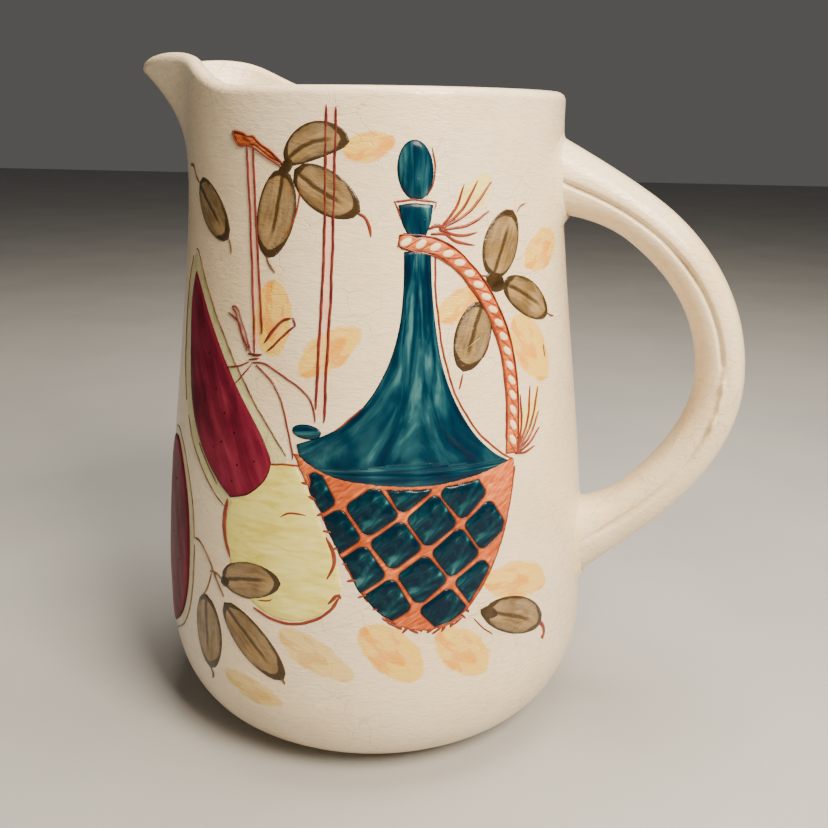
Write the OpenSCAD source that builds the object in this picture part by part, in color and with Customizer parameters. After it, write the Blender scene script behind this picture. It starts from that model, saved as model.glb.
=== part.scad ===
// Ceramic pitcher: a cast body with a drawn-up pouring lip, a separate strap handle stuck on with
// slip, a turned foot ring, and a still life laid over the glaze in raised enamel.
// Millimetres. +Z is up and the table is z = 0. The body's axis is the Z axis, the handle is
// on +X and the lip pours towards -X.

/* [Body] */
// Height of the level part of the rim above the table
rim_height = 200; // [160:1:260]
// Outside radius at the rim
rim_radius = 57; // [50:0.5:66]
// Outside radius at the widest point, low on the belly
belly_radius = 70.5; // [60:0.5:84]
// Height of the widest point above the table
belly_height = 34; // [22:1:50]
// Outside radius where the belly meets the foot ring
foot_radius = 50; // [44:0.5:56]
// Thickness of the wall
wall = 5; // [3.5:0.1:6]
// Thickness of the floor
floor_thickness = 6; // [4:0.5:9]

/* [Foot ring] */
// Height of the foot ring
ring_height = 3; // [2:0.5:5]
// Width of the face that stands on the table
ring_width = 6; // [4:0.5:9]
// How far the ring sits inside the edge of the belly's underside
ring_inset = 1; // [0.5:0.5:3]
// Bevel on both edges of the standing face
ring_bevel = 0.8; // [0.4:0.1:1.2]

/* [Pouring lip] */
// How far the tip of the lip stands out past the rim's circle
lip_reach = 20; // [12:0.5:26]
// How far the two wings of the lip rise above the level rim
wing_rise = 10; // [5:0.5:14]
// How far the tip droops below the wings
tip_droop = 2.7; // [0:0.1:5]
// Angle from the tip to the top of each wing
wing_angle = 19; // [14:1:28]
// Angle from the tip to where the rim is level again
level_angle = 61; // [50:1:75]
// Angle from the tip to where the wall is round again
lip_angle = 36; // [28:1:50]
// How far below the rim the lip begins to lean out
lip_depth = 34; // [26:1:60]

/* [Handle] */
// Height of the middle of the upper root
upper_root = 176.5; // [145:0.5:180]
// Height of the middle of the lower root
lower_root = 58.5; // [44:0.5:80]
// How far the middle of the strap stands out from the belly's widest radius
handle_reach = 38.5; // [28:0.5:50]
// Thickness of the strap, in the plane of its bend
strap_thickness = 14.8; // [10:0.1:18]
// Width of the strap, across the plane of its bend
strap_width = 22; // [16:0.5:28]
// Depth of the groove along each side of the strap
groove_depth = 1.2; // [0.5:0.1:2]
// How much thicker the strap is where it meets the wall
root_flare = 7; // [0:0.5:9]
// Radius of the bead of slip round each root
slip_bead = 1.8; // [1:0.1:2.5]

/* [Enamel] */
// Width of the painted carrying rope
rope_width = 3.6; // [2.4:0.2:5]
// How far the enamel stands above the glaze
enamel_height = 0.5; // [0.3:0.05:1]
// Width of a drawn line
line_width = 0.9; // [0.6:0.1:1.4]
// How far the enamel is fused into the glaze
enamel_sink = 0.25; // [0.15:0.05:0.4]
// Direction that the middle of the still life faces, anticlockwise from the handle
front_azimuth = -79.7; // [-100:0.1:-60]

/* [Hidden] */

// ---- Resolution --------------------------------------------------------------------------------
around = 84;             // points round the body
section_points = 20;     // points round the strap
strap_rings = 18;        // rings along each half of the strap
bead_rings = 28;         // rings round a bead of slip
bead_sides = 8;          // points round the bead itself
wide_columns = 4;        // strips across a wide enamel shape
leaf_columns = 3;        // strips across a leaf

// ---- Sizes that follow from the driving ones ------------------------------------------------------
tip_height = rim_height + wing_rise - tip_droop;
underside = ring_height;                   // height of the belly's flat underside
floor_top = underside + floor_thickness;
root_sink = wall / 3;                      // how far the strap's ends are let into the wall
bulge = 2.1;                               // how full the belly's lower curve is
lean_power = 2.4;                          // how late the lip leans out
pinch_power = 3;                           // how narrow the lip is drawn
drawn_foot = 1.2;                          // height of the bottom edge of the drawing
drawn_scale = rim_height / 203.5;          // heights in the drawing are for a rim this many mm high
drawn_radius = 0.904 * belly_radius;       // radius at which arcs of the drawing are true length

// ---- Small helpers --------------------------------------------------------------------------------
function ease(t) = let (c = max(0, min(1, t))) c * c * (3 - 2 * c);
function mix(a, b, t) = a + (b - a) * t;
function bezier(p, t) =
    pow(1 - t, 3) * p[0] + 3 * pow(1 - t, 2) * t * p[1] + 3 * (1 - t) * t * t * p[2] + pow(t, 3) * p[3];
function unit(v) = v / norm(v);

// Skins a list of rings that all have the same even number of points. With looped = true the last
// ring joins the first, and otherwise each end is closed by a ladder of triangles.
module skin(rings, looped = false) {
    rows = len(rings);
    n = len(rings[0]);
    spans = looped ? rows : rows - 1;
    sides = [
        for (i = [0 : spans - 1], j = [0 : n - 1])
            let (
                a = i * n + j,
                b = i * n + (j + 1) % n,
                c = ((i + 1) % rows) * n + (j + 1) % n,
                d = ((i + 1) % rows) * n + j
            )
            each [[a, b, c], [a, c, d]]
    ];
    last = (rows - 1) * n;
    ends = looped ? [] : [
        for (i = [0 : n / 2 - 2])
            each [
                [i, n - 1 - i, i + 1],
                [i + 1, n - 1 - i, n - 2 - i],
                [last + i, last + i + 1, last + n - 1 - i],
                [last + i + 1, last + n - 2 - i, last + n - 1 - i]
            ]
    ];
    polyhedron(points = [for (ring = rings) each ring], faces = concat(sides, ends), convexity = 6);
}

// ---- The body's shape -----------------------------------------------------------------------------
// Outside radius of the round part of the body at height z
function wall_radius(z) =
    z < belly_height
        ? foot_radius + (belly_radius - foot_radius)
            * pow(1 - pow(1 - max(0, z - underside) / (belly_height - underside), bulge), 1 / bulge)
        : rim_radius + (belly_radius - rim_radius)
            * (1 + cos(180 * min(1, (z - belly_height) / (rim_height - belly_height)))) / 2;

function from_tip(azimuth) = abs(azimuth - 180);

// How far the rim is lifted above its level part
function rim_lift(azimuth) =
    let (d = from_tip(azimuth))
    wing_rise * ease((level_angle - d) / (level_angle - wing_angle))
        - tip_droop * ease(1 - d / wing_angle);

// How far the lip leans out past the round wall
function lip_lean(azimuth, z) =
    lip_reach * pow(cos(90 * min(1, from_tip(azimuth) / lip_angle)), pinch_power)
        * pow(max(0, (z - rim_height + lip_depth) / (tip_height - rim_height + lip_depth)), lean_power);

// Height of the surface that stands at level z on the round part
function lifted(azimuth, z) =
    z + rim_lift(azimuth) * ease((z - rim_height + lip_depth) / lip_depth);

function outside(azimuth, z) =
    let (h = lifted(azimuth, z))
    [wall_radius(z) + lip_lean(azimuth, h), h];

function inside(azimuth, z) =
    let (
        p = outside(azimuth, max(z, belly_height)),
        share = (belly_height - max(floor_top, z)) / (belly_height - floor_top),
        bowl = sqrt(max(0, 1 - pow(max(0, share), 2))),
        floor_radius = foot_radius - wall
    )
    z >= belly_height
        ? [p[0] - wall, p[1]]
        : [floor_radius + (belly_radius - wall - floor_radius) * bowl, max(floor_top, z)];

function on_rim(azimuth, turn) =
    let (p = outside(azimuth, rim_height - wall / 2))
    [p[0] - wall / 2 + wall / 2 * cos(turn), p[1] + wall / 2 * sin(turn)];

function turned(profile, azimuth) = [profile[0] * cos(azimuth), profile[0] * sin(azimuth), profile[1]];

azimuths = [for (i = [0 : around - 1]) i * 360 / around];
bulge_levels = [for (t = [0 : 1 / 6 : 0.999]) mix(underside, belly_height, t * t)];
flank_levels = [for (t = [0 : 1 / 7 : 0.999]) mix(belly_height, rim_height - lip_depth, t)];
lip_levels = [for (t = [0 : 1 / 9 : 0.999]) mix(rim_height - lip_depth, rim_height - wall / 2, t)];
bowl_levels = [for (t = [0 : 1 / 5 : 0.999]) mix(floor_top, belly_height, t * t)];

module body() {
    outer_levels = concat(bulge_levels, flank_levels, lip_levels);
    inner_levels = concat(bowl_levels, flank_levels, lip_levels);
    last = len(inner_levels) - 1;
    color("#ece4d4")
    skin(concat(
        [for (z = outer_levels) [for (a = azimuths) turned(outside(a, z), a)]],
        [for (turn = [0 : 45 : 180]) [for (a = azimuths) turned(on_rim(a, turn), a)]],
        [for (i = [0 : last]) [for (a = azimuths) turned(inside(a, inner_levels[last - i]), a)]]
    ));
}

module foot_ring() {
    outer = foot_radius - ring_inset;
    inner = outer - ring_width;
    color("#d8c7ab")
    rotate_extrude($fn = 180)
    polygon([
        [inner - ring_bevel, ring_height],
        [inner, ring_bevel],
        [inner + ring_bevel, 0],
        [outer - ring_bevel, 0],
        [outer, ring_bevel],
        [outer + ring_inset / 2, ring_height]
    ]);
}

// ---- Handle ---------------------------------------------------------------------------------------
// The strap's middle line is two curves in the plane y = 0 that meet where it stands out furthest.
crown_x = belly_radius + handle_reach;
crown_z = mix(lower_root, upper_root, 0.48);
upper_x = wall_radius(upper_root) - root_sink;
lower_x = wall_radius(lower_root) - root_sink;
upper_curve = [
    [upper_x, upper_root],
    [mix(upper_x, crown_x, 0.67), upper_root - 11.5],
    [crown_x, mix(crown_z, upper_root, 0.42)],
    [crown_x, crown_z]
];
lower_curve = [
    [crown_x, crown_z],
    [crown_x, mix(crown_z, lower_root, 0.36)],
    [mix(crown_x, lower_x, 0.43), lower_root + 14],
    [lower_x, lower_root]
];
strap_line = concat(
    [for (i = [0 : strap_rings - 1]) bezier(upper_curve, i / strap_rings)],
    [for (i = [0 : strap_rings]) bezier(lower_curve, i / strap_rings)]
);

function strap_direction(i) =
    let (last = len(strap_line) - 1)
    unit(strap_line[min(last, i + 1)] - strap_line[max(0, i - 1)]);

// How much thicker than its middle the strap is at ring i
function flare_at(i) =
    let (last = len(strap_line) - 1, from_end = min(i, last - i) / last)
    root_flare * pow(max(0, 1 - from_end / 0.14), 2);

// The strap's section: a rounded oblong with a groove along each side
function strap_section(thickness, width) = [
    for (j = [0 : section_points - 1])
        let (
            turn = 360 * (j + 0.5) / section_points,
            c = cos(turn),
            s = sin(turn),
            notch = groove_depth * pow(max(0, 1 - abs(s) / 0.35), 2)
        )
        [
            thickness / 2 * sign(s) * pow(abs(s), 0.8),
            sign(c) * (width / 2 * pow(abs(c), 0.8) - notch)
        ]
];

// Towards each end the rings turn upright and take the wall's curve, so that the strap ends in the wall
function strap_ring(i) =
    let (
        last = len(strap_line) - 1,
        p = strap_line[i],
        d = strap_direction(i),
        flare = flare_at(i),
        upright = ease(1 - min(i, last - i) / last / 0.2),
        across = mix([-d[1], d[0]], [0, 1 / d[0]], upright)
    )
    [
        for (q = strap_section(strap_thickness + flare, strap_width + flare / 2))
            let (
                z = p[1] + across[1] * q[0],
                wrap = sqrt(pow(wall_radius(z), 2) - q[1] * q[1]) - wall_radius(p[1])
            )
            [p[0] + across[0] * q[0] + upright * wrap, q[1], z]
    ];

module handle() {
    color("#e9dfcc")
    skin([for (i = [0 : len(strap_line) - 1]) strap_ring(i)]);
}

// A bead of slip where the strap meets the wall, round the oblong that the strap covers there
module slip_joint(middle, half_height, half_width) {
    path = [
        for (j = [0 : bead_rings - 1])
            let (
                turn = 360 * j / bead_rings,
                y = half_width * sign(cos(turn)) * pow(abs(cos(turn)), 0.8),
                z = middle + half_height * sign(sin(turn)) * pow(abs(sin(turn)), 0.8)
            )
            [sqrt(pow(wall_radius(z), 2) - y * y), y, z]
    ];
    skin(looped = true, [
        for (j = [0 : bead_rings - 1])
            let (
                p = path[j],
                along = unit(path[(j + 1) % bead_rings] - path[(j + bead_rings - 1) % bead_rings]),
                out = unit([p[0], p[1], 0]),
                side = unit(cross(along, out)),
                up = cross(side, along)
            )
            [
                for (k = [0 : bead_sides - 1])
                    let (turn = -360 * k / bead_sides)
                    p + slip_bead * (side * cos(turn) + up * sin(turn))
            ]
    ]);
}

// Half the height and half the width that the strap covers on the wall, at its end ring i
function root_half_height(i) = (strap_thickness + flare_at(i)) / 2 / abs(strap_direction(i)[0]);
root_half_width = (strap_width + root_flare / 2) / 2;

module upper_slip_joint() {
    color("#f1ead9")
    slip_joint(upper_root, root_half_height(0), root_half_width);
}

module lower_slip_joint() {
    last = len(strap_line) - 1;
    color("#e8deb8")
    slip_joint(lower_root, root_half_height(last), root_half_width);
}

// ---- Enamel ---------------------------------------------------------------------------------------
// The still life is drawn flat as [arc, height]: arc is millimetres round the body from the middle of
// the drawing, towards the handle, and height is above the table. on_wall wraps a point round the body.
function on_wall(p, out) =
    let (
        azimuth = (front_azimuth + p[0] / drawn_radius * 180 / PI + 360) % 360,
        q = outside(azimuth, drawn_foot + p[1] * drawn_scale)
    )
    turned([q[0] + out, q[1]], azimuth);

// One raised shape: rows of [left end, right end, sag], each row a strip across the shape
module raised(rows, height = enamel_height, columns = wide_columns) {
    skin([
        for (row = rows)
            let (
                across = [
                    for (k = [0 : columns])
                        let (t = k / columns)
                        mix(row[0], row[1], t) - [0, 4 * row[2] * t * (1 - t)]
                ]
            )
            concat(
                [for (k = [0 : columns]) on_wall(across[k], height)],
                [for (k = [columns : -1 : 0]) on_wall(across[k], -enamel_sink)]
            )
    ]);
}

// A stroke along a list of points, with its half width at each
module stroke(points, halves, height = enamel_height, columns = 1) {
    last = len(points) - 1;
    raised([
        for (i = [0 : last])
            let (
                d = unit(points[min(last, i + 1)] - points[max(0, i - 1)]),
                side = [-d[1], d[0]] * halves[i]
            )
            [points[i] + side, points[i] - side, 0]
    ], height, columns);
}

// Points along a curve with four control points, and along two such curves that meet
function along(control, steps) = [for (i = [0 : steps]) bezier(control, i / steps)];
function along_both(first, second, steps) =
    concat(along(first, steps), [for (i = [1 : steps]) bezier(second, i / steps)]);

// A line of one width through a list of points
module line(points, width = line_width) {
    stroke(points, [for (p = points) width / 2]);
}

// A straight line
module rule(from, to, width = line_width, steps = 8) {
    line([for (i = [0 : steps]) mix(from, to, i / steps)], width);
}

// A pointed leaf from its stalk end to its tip. bow bends it to one side.
module leaf(from, to, half_width, bow = 0, height = enamel_height) {
    steps = 9;
    blunt = 0.3;
    across = unit([from[1] - to[1], to[0] - from[0]]);
    stroke(
        [for (i = [0 : steps]) mix(from, to, i / steps) + across * 4 * bow * i / steps * (1 - i / steps)],
        [for (i = [0 : steps]) max(blunt, half_width * pow(sin(180 * i / steps), 0.75))],
        height,
        leaf_columns
    );
}

// The bottle's silhouette, from the mouth of its neck to the basket
bottle_rows = [
    [[10, 160], [18, 160], 0],
    [[9.8, 150], [18.3, 150], 0],
    [[8.5, 140], [19.3, 140], 0],
    [[5, 130], [21, 130], 0],
    [[-1, 120], [24, 120], 0],
    [[-10, 112], [30, 110], 0.5],
    [[-18, 109], [36, 104], 3],
    [[-20, 107], [41, 100], 6.5]
];

module bottle_enamel() {
    color("#0f4a5c")
    raised(bottle_rows);
}

module bottle_stopper() {
    color("#16465a")
    leaf([13, 173.6], [14, 189], 5.2, height = enamel_height * 1.5);
}

module bottle_collar() {
    color("#1b4d60")
    raised([
        [[8.5, 172.8], [19, 172.8], 0],
        [[9.8, 168], [18, 168], 0.3],
        [[11.5, 164.2], [16, 164.2], 0.6],
    ]);
}

// The basket hangs under the bottle: two slanting rows of straps, with dark glass between them
weave_middle = [15.5, 78];
weave_up = [9.3, 6.8];
weave_down = [6.5, -10.2];
strap_gap = 0.8;         // share of a cell that the glass fills
full_room = 8;           // distance from the basket's edge at which a cell has its full size
basket_rows = [
    [[-20, 105.5], [42, 98.5], 6.5],
    [[-17, 96], [42, 91], 3],
    [[-10, 83], [39.5, 83], 0],
    [[-4, 71], [34, 70], 0],
    [[3, 60], [27, 60], 1],
    [[10, 55], [22, 54], 1]
];

// Edges of the basket at a height
function basket_left(z) = lookup(z, [[54, 10], [60, 3], [71, -4], [83, -10], [96, -17], [105, -20]]);
function basket_right(z) = lookup(z, [[54, 22], [60, 27], [70, 34], [83, 39.5], [91, 41.5], [99, 42]]);

module basket_weave() {
    color("#c97a58")
    raised(basket_rows, enamel_height / 2);
}

// Each cell of glass shrinks near the basket's edges, so that the straps stay whole round it
module basket_cells() {
    smallest = 0.3;
    color("#0c4354")
    for (i = [-4 : 3], j = [-3 : 2]) {
        middle = weave_middle + (i + 0.5) * weave_up + (j + 0.5) * weave_down;
        roof = 96 + pow((middle[0] - 12) / 14, 2);
        room = min(
            middle[0] - basket_left(middle[1]),
            basket_right(middle[1]) - middle[0],
            middle[1] - 54,
            roof - middle[1]
        );
        size = strap_gap * min(1, room / full_room);
        half_up = weave_up * size / 2;
        half_down = weave_down * size / 2;
        if (size > smallest)
            raised(columns = 2, rows = [
                [middle - half_up - half_down, middle - half_up + half_down, 0],
                [middle + half_up - half_down, middle + half_up + half_down, 0]
            ]);
    }
}

module carrying_rope() {
    path = along_both(
        [[8, 163], [15, 162], [20, 163], [27, 156.5]],
        [[27, 156.5], [40, 143], [45, 128], [42, 102]],
        12
    );
    color("#cf8a68")
    stroke(path, [for (p = path) rope_width / 2], enamel_height * 1.6);
}

// A fan of strands from a knot, from one direction to another
module tassel(knot, first, last, reach) {
    strands = 6;
    start = 3;
    for (k = [0 : strands - 1]) {
        turn = mix(first, last, k / (strands - 1));
        way = [cos(turn), sin(turn)];
        rule(knot + start * way, knot + reach * way, steps = 4);
    }
}

module rope_tassels() {
    color("#b5583c") {
        tassel([20, 166.5], 68, -22, 16);
        tassel([44, 101.5], 72, -20, 16);
    }
}

// Two wedges of red fruit: rows run across each wedge from its apex to its round end
module fruit_slices() {
    color("#7c1b30") {
        raised([
            [[-66.5, 149.5], [-64, 150], 0],
            [[-68, 141], [-56, 140], 0],
            [[-66.5, 127], [-45, 127], 0],
            [[-63, 113], [-33, 114], 0],
            [[-54, 101], [-27.5, 104], 0],
            [[-44, 91], [-29, 94], 1.5]
        ]);
        raised([
            [[-79, 96], [-71, 95.5], 0],
            [[-81, 87], [-64, 86], 0],
            [[-82, 72], [-60, 72], 0],
            [[-82, 56], [-60, 56], 0],
            [[-81, 42], [-66, 42], 0],
            [[-79, 33], [-73, 33], 0]
        ]);
    }
}

module slice_rinds() {
    color("#b9a98a") {
        rule([-64, 155], [-22, 103.5]);
        line(along_both(
            [[-66, 156], [-75, 148], [-71, 120], [-66, 108]],
            [[-66, 108], [-60, 98], [-50, 91], [-42.5, 86]],
            6
        ));
        line(along_both(
            [[-74, 98.5], [-58, 88], [-54, 62], [-60, 48]],
            [[-60, 48], [-63, 40], [-68, 33], [-78, 28.5]],
            6
        ));
    }
}

module round_fruit() {
    color("#ded391")
    raised([
        [[-29, 100], [-20, 100.5], 0],
        [[-35, 92], [-15.5, 93], 0],
        [[-41, 84], [-12.5, 84], 0],
        [[-41, 75], [-8.5, 75], 0],
        [[-37.5, 66], [-8, 66.5], 0],
        [[-30, 58.5], [-13, 58], 3]
    ], enamel_height / 2);
}

module olive_leaves() {
    color("#7d6a42") {
        leaf([-24, 183], [-5, 189], 4.6, bow = 2.5);
        leaf([-25, 180.5], [-30, 158], 6);
        leaf([-20.5, 181], [-2, 171], 5.6, bow = -1);
        leaf([-64, 175], [-46, 162], 5.6);
        leaf([39, 153], [46.5, 170], 6.6);
        leaf([42, 150.5], [62.5, 140], 5.2);
        leaf([33.5, 146], [27.5, 129], 5.6);
        leaf([-42.5, 62], [-22.5, 66], 5.6, bow = 1);
        leaf([-50, 54], [-49.5, 29], 6);
        leaf([-42, 53.5], [-22.5, 36], 6);
        leaf([31.5, 56], [53, 45], 5.6);
    }
}

module leaf_stems() {
    color("#6b3a26") {
        line(along([[-43, 189], [-36, 189.5], [-30, 186], [-25, 182.5]], 6), width = 1.6);
        line(along([[-74, 178.5], [-70, 178.5], [-68, 176.5], [-64, 175]], 6));
        line(along([[-2, 171], [0, 171], [1, 168], [1, 164.5]], 5));
        line(along([[-56, 70.5], [-52, 70], [-48, 64], [-42, 56.5]], 6));
        line(along([[-48.2, 61], [-49, 58], [-50, 56], [-53, 51.5]], 4));
        line(along([[53, 45], [54.5, 44], [55, 42], [54, 39]], 4), width = 1.6);
    }
}

module ochre_leaves() {
    thin = enamel_height * 0.4;
    color("#e2bd7c") {
        leaf([-7, 186], [8, 188], 3.4, height = thin);
        leaf([-27, 152.5], [-28, 131], 5.6, height = thin);
        leaf([-19, 127], [-1.5, 140], 4.6, height = thin);
        leaf([20, 141], [34, 149], 3.6, height = thin);
        leaf([51, 156], [72, 160], 5.4, height = thin);
        leaf([46, 142], [60, 121], 6.4, height = thin);
        leaf([31, 65], [55, 58], 5.4, height = thin);
        leaf([0, 56], [14, 38], 6, height = thin);
        leaf([20, 53], [33, 36], 5.6, height = thin);
        leaf([-24, 52], [-3, 39], 4.6, height = thin);
        leaf([-43, 32], [-23, 27], 3.8, height = thin);
    }
}

module string_pairs() {
    color("#96453a") {
        rule([-38, 187], [-33.3, 134]);
        rule([-35.5, 187], [-31, 136]);
        rule([-11.5, 195], [-14, 117]);
        rule([-9, 195], [-11.5, 114]);
    }
}

// Two loops on each side of the knot, and the loose ends under it
module string_bow() {
    color("#8e3d33") {
        line(along([[-36, 131], [-39, 135], [-41, 139], [-45, 140]], 5));
        line(along([[-34.5, 132], [-37, 137], [-38, 141], [-42, 143]], 5));
        line(along([[-31.5, 132.5], [-28, 137], [-26, 141], [-21.5, 142.5]], 5));
        line(along([[-30.5, 131], [-26, 134], [-24, 137], [-20.5, 139.5]], 5));
        line(along([[-32, 129.2], [-24, 128], [-15, 123], [-14, 114]], 8));
        line(along([[-32.5, 127.8], [-26, 124], [-23, 116], [-20.5, 108]], 8));
        rule([-43.5, 126], [-36, 129.2], steps = 4);
        rule([-40, 122], [-35, 127.8], steps = 4);
    }
}

body();
foot_ring();
handle();
upper_slip_joint();
lower_slip_joint();
bottle_enamel();
bottle_stopper();
bottle_collar();
basket_weave();
basket_cells();
carrying_rope();
rope_tassels();
fruit_slices();
slice_rinds();
round_fruit();
olive_leaves();
leaf_stems();
ochre_leaves();
string_pairs();
string_bow();
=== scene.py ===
"""Looks of a ceramic pitcher: an ivory crackled glaze, a grooved strap handle and a raised enamel still life.

The shape of the ware is the CAD model's, worked out again here at a finer step. The still life is drawn
flat, as [arc, height] in millimetres, and wrapped round the body. Everything is built in millimetres
and turned into metres when a mesh is made.
"""
import math
import random

import bpy
import numpy as np
from mathutils import Matrix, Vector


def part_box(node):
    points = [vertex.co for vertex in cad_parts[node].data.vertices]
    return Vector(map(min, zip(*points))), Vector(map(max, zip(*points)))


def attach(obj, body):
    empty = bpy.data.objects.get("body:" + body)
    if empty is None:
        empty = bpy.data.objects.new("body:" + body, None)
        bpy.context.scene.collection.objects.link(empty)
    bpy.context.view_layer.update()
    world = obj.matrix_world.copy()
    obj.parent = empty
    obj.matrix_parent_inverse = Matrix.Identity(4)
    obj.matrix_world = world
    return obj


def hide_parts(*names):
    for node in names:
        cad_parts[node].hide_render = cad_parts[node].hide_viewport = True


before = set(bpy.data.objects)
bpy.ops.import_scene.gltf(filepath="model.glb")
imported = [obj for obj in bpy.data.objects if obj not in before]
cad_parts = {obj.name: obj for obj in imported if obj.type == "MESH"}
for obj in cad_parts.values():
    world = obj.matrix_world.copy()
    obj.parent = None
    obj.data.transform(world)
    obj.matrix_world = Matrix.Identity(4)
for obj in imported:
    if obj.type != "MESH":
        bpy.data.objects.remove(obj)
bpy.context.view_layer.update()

MM = 0.001
ROOT = "root"

# ---- The ware's sizes, in millimetres, as in the CAD model ---------------------------------------
BELLY_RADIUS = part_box("body")[1].y / MM
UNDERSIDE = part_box("body")[0].z / MM
RIM_HEIGHT = 200.0
RIM_RADIUS = 57.0
BELLY_HEIGHT = 34.0
FOOT_RADIUS = 50.0
WALL = 5.0
FLOOR_THICKNESS = 6.0
FLOOR_TOP = UNDERSIDE + FLOOR_THICKNESS
BULGE = 2.1
RING_WIDTH = 6.0
RING_BEVEL = 0.8
UNDERSIDE_HOLLOW = 0.8

LIP_REACH = 20.0
WING_RISE = 10.0
TIP_DROOP = 2.7
WING_ANGLE = math.radians(19)
LEVEL_ANGLE = math.radians(61)
LIP_ANGLE = math.radians(36)
LIP_DEPTH = 34.0
LEAN_POWER = 2.4
PINCH_POWER = 3.0
TIP_HEIGHT = RIM_HEIGHT + WING_RISE - TIP_DROOP

UPPER_ROOT = 176.5
LOWER_ROOT = 58.5
HANDLE_REACH = 38.5
STRAP_THICKNESS = 14.8
STRAP_WIDTH = 22.0
ROOT_FLARE = 7.0
ROOT_SINK = WALL / 3

DRAWN_RADIUS = 0.904 * BELLY_RADIUS
DRAWN_FOOT = 1.2
DRAWN_SCALE = RIM_HEIGHT / 203.5
FRONT = math.radians(-79.7)


# ---- Small helpers -------------------------------------------------------------------------------
def ease(t):
    c = np.clip(t, 0, 1)
    return c * c * (3 - 2 * c)


def mix(a, b, t):
    return a + (b - a) * t


def unit(v):
    return v / np.maximum(np.linalg.norm(v, axis=-1, keepdims=True), 1e-9)


def ripple(a, b, seed=0.0):
    """A smooth irregular value between about -1 and 1 that depends on two coordinates in radians."""
    return (
        np.sin(a + 1.7 * b + seed) + np.sin(2.3 * a - 1.1 * b + 2.1 * seed) + np.sin(3.7 * a + 2.9 * b - seed)
    ) / 3


# ---- The body's surface --------------------------------------------------------------------------
def wall_radius(z):
    low = np.clip((BELLY_HEIGHT - z) / (BELLY_HEIGHT - UNDERSIDE), 0, 1)
    lower = FOOT_RADIUS + (BELLY_RADIUS - FOOT_RADIUS) * (1 - low**BULGE) ** (1 / BULGE)
    up = np.clip((z - BELLY_HEIGHT) / (RIM_HEIGHT - BELLY_HEIGHT), 0, 1)
    upper = RIM_RADIUS + (BELLY_RADIUS - RIM_RADIUS) * (1 + np.cos(math.pi * up)) / 2
    return np.where(z < BELLY_HEIGHT, lower, upper)


def from_tip(azimuth):
    return np.abs((azimuth % (2 * math.pi)) - math.pi)


def rim_lift(azimuth):
    d = from_tip(azimuth)
    wing = WING_RISE * ease((LEVEL_ANGLE - d) / (LEVEL_ANGLE - WING_ANGLE))
    return wing - TIP_DROOP * ease(1 - d / WING_ANGLE)


def lip_lean(azimuth, z):
    across = np.cos(math.pi / 2 * np.minimum(1, from_tip(azimuth) / LIP_ANGLE)) ** PINCH_POWER
    rise = np.clip((z - RIM_HEIGHT + LIP_DEPTH) / (TIP_HEIGHT - RIM_HEIGHT + LIP_DEPTH), 0, None)
    return LIP_REACH * across * rise**LEAN_POWER


def hand_wobble(azimuth, z):
    """How far the cast wall is out of round, a small fraction of a millimetre."""
    slow = 0.07 * np.sin(2 * azimuth + z / 34) + 0.05 * np.sin(3 * azimuth - z / 23 + 1.0)
    return slow + 0.025 * np.sin(5 * azimuth + z / 15) + 0.015 * np.sin(9 * azimuth - z / 19 + 2.0)


def outside(azimuth, z):
    """Radius and height of the outer wall that stands at level z on the round part."""
    height = z + rim_lift(azimuth) * ease((z - RIM_HEIGHT + LIP_DEPTH) / LIP_DEPTH)
    return wall_radius(z) + lip_lean(azimuth, height) + hand_wobble(azimuth, height), height


def inside(azimuth, z):
    radius, height = outside(azimuth, np.maximum(z, BELLY_HEIGHT))
    share = np.clip((BELLY_HEIGHT - z) / (BELLY_HEIGHT - FLOOR_TOP), 0, 1)
    floor_radius = FOOT_RADIUS - WALL
    bowl = floor_radius + (BELLY_RADIUS - WALL - floor_radius) * np.sqrt(1 - share**2)
    return np.where(z < BELLY_HEIGHT, bowl, radius - WALL), np.where(z < BELLY_HEIGHT, z, height)


def around_axis(radius, azimuth, height):
    return np.stack([radius * np.cos(azimuth), radius * np.sin(azimuth), height + 0 * azimuth], axis=-1)


def on_wall(drawn, lift):
    """Points of the drawing [arc, height] wrapped round the body and lifted off it."""
    azimuth = FRONT + drawn[..., 0] / DRAWN_RADIUS
    radius, height = outside(azimuth, DRAWN_FOOT + drawn[..., 1] * DRAWN_SCALE)
    return around_axis(radius + lift, azimuth, height)


# ---- Meshes --------------------------------------------------------------------------------------
def make_piece(name, points, faces, material, replaces=(), drawn=None, smooth=None):
    """A mesh piece from points in millimetres. drawn gives four numbers a point for its material, and
    smooth says which faces are shaded smooth; left out, all of them are."""
    mesh = bpy.data.meshes.new(name)
    mesh.from_pydata((np.asarray(points, float) * MM).tolist(), [], [list(map(int, f)) for f in faces])
    mesh.validate()
    mesh.polygons.foreach_set("use_smooth", np.ones(len(faces), bool) if smooth is None else smooth)
    if drawn is not None:
        layer = mesh.color_attributes.new("drawn", "FLOAT_COLOR", "POINT")
        layer.data.foreach_set("color", np.asarray(drawn, np.float32).ravel())
    mesh.materials.append(material)
    piece = bpy.data.objects.new(name, mesh)
    bpy.context.scene.collection.objects.link(piece)
    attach(piece, ROOT)
    if replaces:
        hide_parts(*replaces)
    return piece


def ring_faces(rows, count, looped=False):
    """Quads between rows of points, where each row is a closed ring of count points."""
    spans = rows if looped else rows - 1
    i, j = np.meshgrid(np.arange(spans), np.arange(count), indexing="ij")
    after, beside = (i + 1) % rows, (j + 1) % count
    return np.stack(
        [i * count + j, i * count + beside, after * count + beside, after * count + j], axis=-1
    ).reshape(-1, 4)


def fan_faces(first, count, pole, flip):
    """Triangles from a ring to a pole point."""
    faces = [[first + j, first + (j + 1) % count, pole] for j in range(count)]
    return [f[::-1] for f in faces] if flip else faces


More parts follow.
